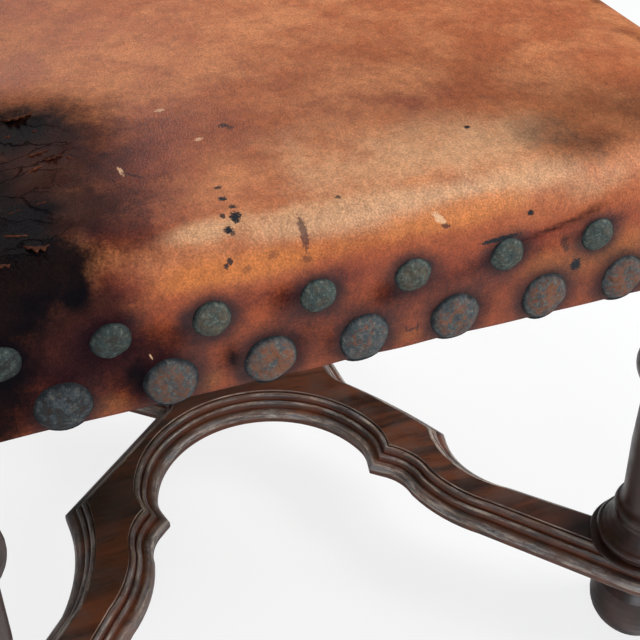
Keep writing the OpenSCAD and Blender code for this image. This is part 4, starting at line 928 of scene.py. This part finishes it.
def arm(name, side):
    """A squircle |x/w|^(2/0.55) + |z/h|^(2/0.55) = 1 carried along z = a + b (3 - 2t) t^2 - 14
    sin^2(pi t), and a drum with a hollowed eye on each face for the scroll."""
    s = np.concatenate([[0], np.linspace(0, 1, 73), [1]])[:, None]
    y = arm_join_y + (scroll_y - arm_join_y) * s
    t = np.maximum(0, (y - level_y) / (arm_join_y - level_y))
    z = arm_mid + (arm_rear_z - arm_mid) * (3 - 2 * t) * t * t - 14 * np.sin(math.pi * t) ** 2
    tilt = np.arctan2(-np.gradient(z[1:-1], axis=0), -np.gradient(y[1:-1], axis=0))
    tilt[0] = -rake
    tilt = np.concatenate([tilt[:1], tilt, tilt[-1:]])
    wide = 14 + 11 * np.sin(np.minimum(math.pi / 2, math.radians(130) * s))
    angle = np.linspace(0, math.tau, 48, endpoint=False)
    circle = np.array([np.cos(angle), np.sin(angle)])
    squircle = np.sign(circle) * np.abs(circle) ** 0.55
    size = np.ones_like(s)
    size[[0, -1]] = 0
    up_by = size * 15 * squircle[1]
    across = size * wide * squircle[0] - leg_x
    sweep = np.stack([across, y - up_by * np.sin(tilt), z + up_by * np.cos(tilt)], axis=-1)
    eye = np.array([
        (0, -2.2), (4, -2.1), (6.2, -1.4), (7, -0.4), (7, 1.5), (11, 1.6), (12, 0.9), (13, 0),
        (22.4, 0), (23.4, 0.3), (24, 1.1)])
    drum = lathe(np.vstack([eye, (24, 28), eye[::-1] * (1, -1) + (0, 56)]), 72)
    drum = np.stack([drum[..., 2] - leg_x - 28, scroll_y - drum[..., 1], scroll_z + drum[..., 0]], axis=-1)
    points = np.concatenate([sweep.reshape(-1, 3), drum.reshape(-1, 3)]) * (-side, 1, 1)
    drum_faces = grid_faces(len(eye) * 2 + 1, 72, True, sweep.size // 3)
    faces = np.concatenate([grid_faces(len(s), 48, True), drum_faces])
    faces = faces if side < 0 else faces[:, ::-1]
    return piece_from(name, points, faces, walnut_along, "walnut", 40.0)


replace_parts(arm("scrolled_arm_left", -1), "arm_left")
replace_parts(arm("scrolled_arm_right", 1), "arm_right")

# Back: a hide drawn over a thin pad in front and one flat hide behind, both nailed round the
# leaning frame, with the front one cut out round each arm.
back_half_w, back_half_h, back_mid, back_pitch = 313.5, 262.0, 354.0, 55.0
arm_up = (arm_rear_z - block_top) * math.cos(rake) + (arm_join_y - post_y) * math.sin(rake) - back_mid


def on_back(a, b, c, rear=False):
    """Points on the leaning back from places across, up from its middle (down for the rear) and
    out of its front or rear face."""
    y = post_d / 2 + c if rear else -post_d / 2 - c
    z = back_mid - b if rear else back_mid + b
    back_y = post_y + y * math.cos(rake) + z * math.sin(rake)
    return np.stack([a, back_y, block_top - y * math.sin(rake) + z * math.cos(rake)], axis=-1)


nail_w, nail_h = back_half_w - 15, back_half_h - 15
row = nail_w * np.linspace(-1, 1, 11)
low = np.linspace(-nail_h, arm_up - 28.4, 3)[1:]
high = np.linspace(nail_h, arm_up + 28.4, 7)[1:]
column = np.append(low, high)
back_spots = np.column_stack([
    np.concatenate([row, row, np.repeat([-nail_w, nail_w], len(column))]),
    np.concatenate([np.repeat([-nail_h, nail_h], len(row)), column, column])])


def back_skin(name, rear, slot):
    """Height over the frame: a flat border, then a rise over the pad's edge, 18 sin(pi w / 2)^0.8
    for w from 0 to 1 across the roll, and a crown of 13 (1 - cos(pi v)) / 2 to the middle. Shallow
    dimples lie round the nails, and puckers run in from them."""
    border, beside_arm, arm_half = 34, 278, 15.5
    lines_a = span(-back_half_w, 12, -beside_arm, 90, beside_arm, 12, back_half_w)
    lines_b = span(-back_half_h, 40, arm_up - arm_half, 8, arm_up + arm_half, 72, back_half_h)
    a, b = np.meshgrid(lines_a, lines_b, indexing="ij")
    in_a, in_b = back_half_w - np.abs(a) - border, back_half_h - np.abs(b) - border
    corner = np.hypot(np.minimum(in_a - border, 0), np.minimum(in_b - border, 0))
    in_corner = (in_a < border) & (in_b < border)
    inset = np.where(in_corner, border - corner, np.minimum(in_a, in_b))
    nail_b = back_spots[:, 1] * (-1 if rear else 1)
    distance = np.hypot(a[..., None] - back_spots[:, 0], b[..., None] - nail_b).min(axis=-1)
    # Round each nail the hide dimples and darkens, with stain and painted shadow.
    halo = 0.9 * np.exp(-(distance / 19) ** 2)
    wave = 0.6 * np.sin(a / 37 + 1.2 * np.sin(b / 53)) * np.sin(b / 41 + np.sin(a / 61))
    faces = grid_faces(len(lines_a), len(lines_b))
    if rear:
        height = 2.7 + 0.5 * wave - 0.5 * halo
    else:
        roll = np.sin(math.pi / 2 * np.clip(inset / 17, 0, 1)) ** 0.8
        crowned = (1 - np.cos(math.pi * np.clip((inset - 10) / 190, 0, 1))) / 2
        along_edge = np.where(in_a < in_b, b, a)
        pucker = 0.9 * np.cos(math.tau * along_edge / back_pitch + 0.6 * np.sin(along_edge / 29))
        pucker = pucker * np.exp(-((inset - 8) / 15) ** 2)
        height = 2.5 + 18 * roll + 13 * crowned - 0.6 * halo
        height = height + (pucker + wave) * np.clip(inset / 10 + 0.5, 0, 1)
        cut = (np.abs(a) >= beside_arm) & (np.abs(b - arm_up) <= arm_half + 0.01)
        faces = faces[~cut.ravel()[faces].all(axis=1), ::-1]

    def stains(count):
        """Stains placed by chance."""
        ranges = ((-310, 310), (-260, 260), (14, 70), (8, 40), (-0.4, 0.4), (0.3, 0.8))
        return blots(a, b, random_spots(count, *ranges))

    rim = np.clip((44 - np.minimum(back_half_w - np.abs(a), back_half_h - np.abs(b))) / 30, 0, 1)
    made = piece_from(
        name, on_back(a, b, height, rear), faces, hide, slot, 60.0, ink=stains(7) * 0.8,
        plum=stains(10), rust=stains(14), orange=stains(8), halo=halo, pale=stains(9) * (1 - rim),
        hang=0.2 + 0.7 * rim, split=stains(3) * 0.8, along=900.0, high=a)
    thicken(made, 0.0023)
    return made


back_pad = back_skin("back_cover", False, "leather")
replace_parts(back_pad, "back_leather", "back_stuffing")
outside_back = back_skin("outside_back_cover", True, "leather")
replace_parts(outside_back, "outside_back_leather")
for label, rear, radius, rise, stand, facing, nodes_there in (
        ("back_nail_heads", False, 10.8, 5.2, 2.5, -1, "back_nails"),
        ("outside_nail_heads", True, 6.4, 3.2, 3.0, 1, "outside_back_nails")):
    count = len(back_spots)
    spots = on_back(*back_spots.T, np.full(count, stand), rear)
    outs = np.tile((0, facing * math.cos(rake), -facing * math.sin(rake)), (count, 1))
    alongs = np.tile((-facing, 0, 0), (count, 1))
    heads = nail_heads(label, spots, alongs, outs, radius, rise, brass, "small_nail_brass", 11)
    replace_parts(heads, nodes_there)
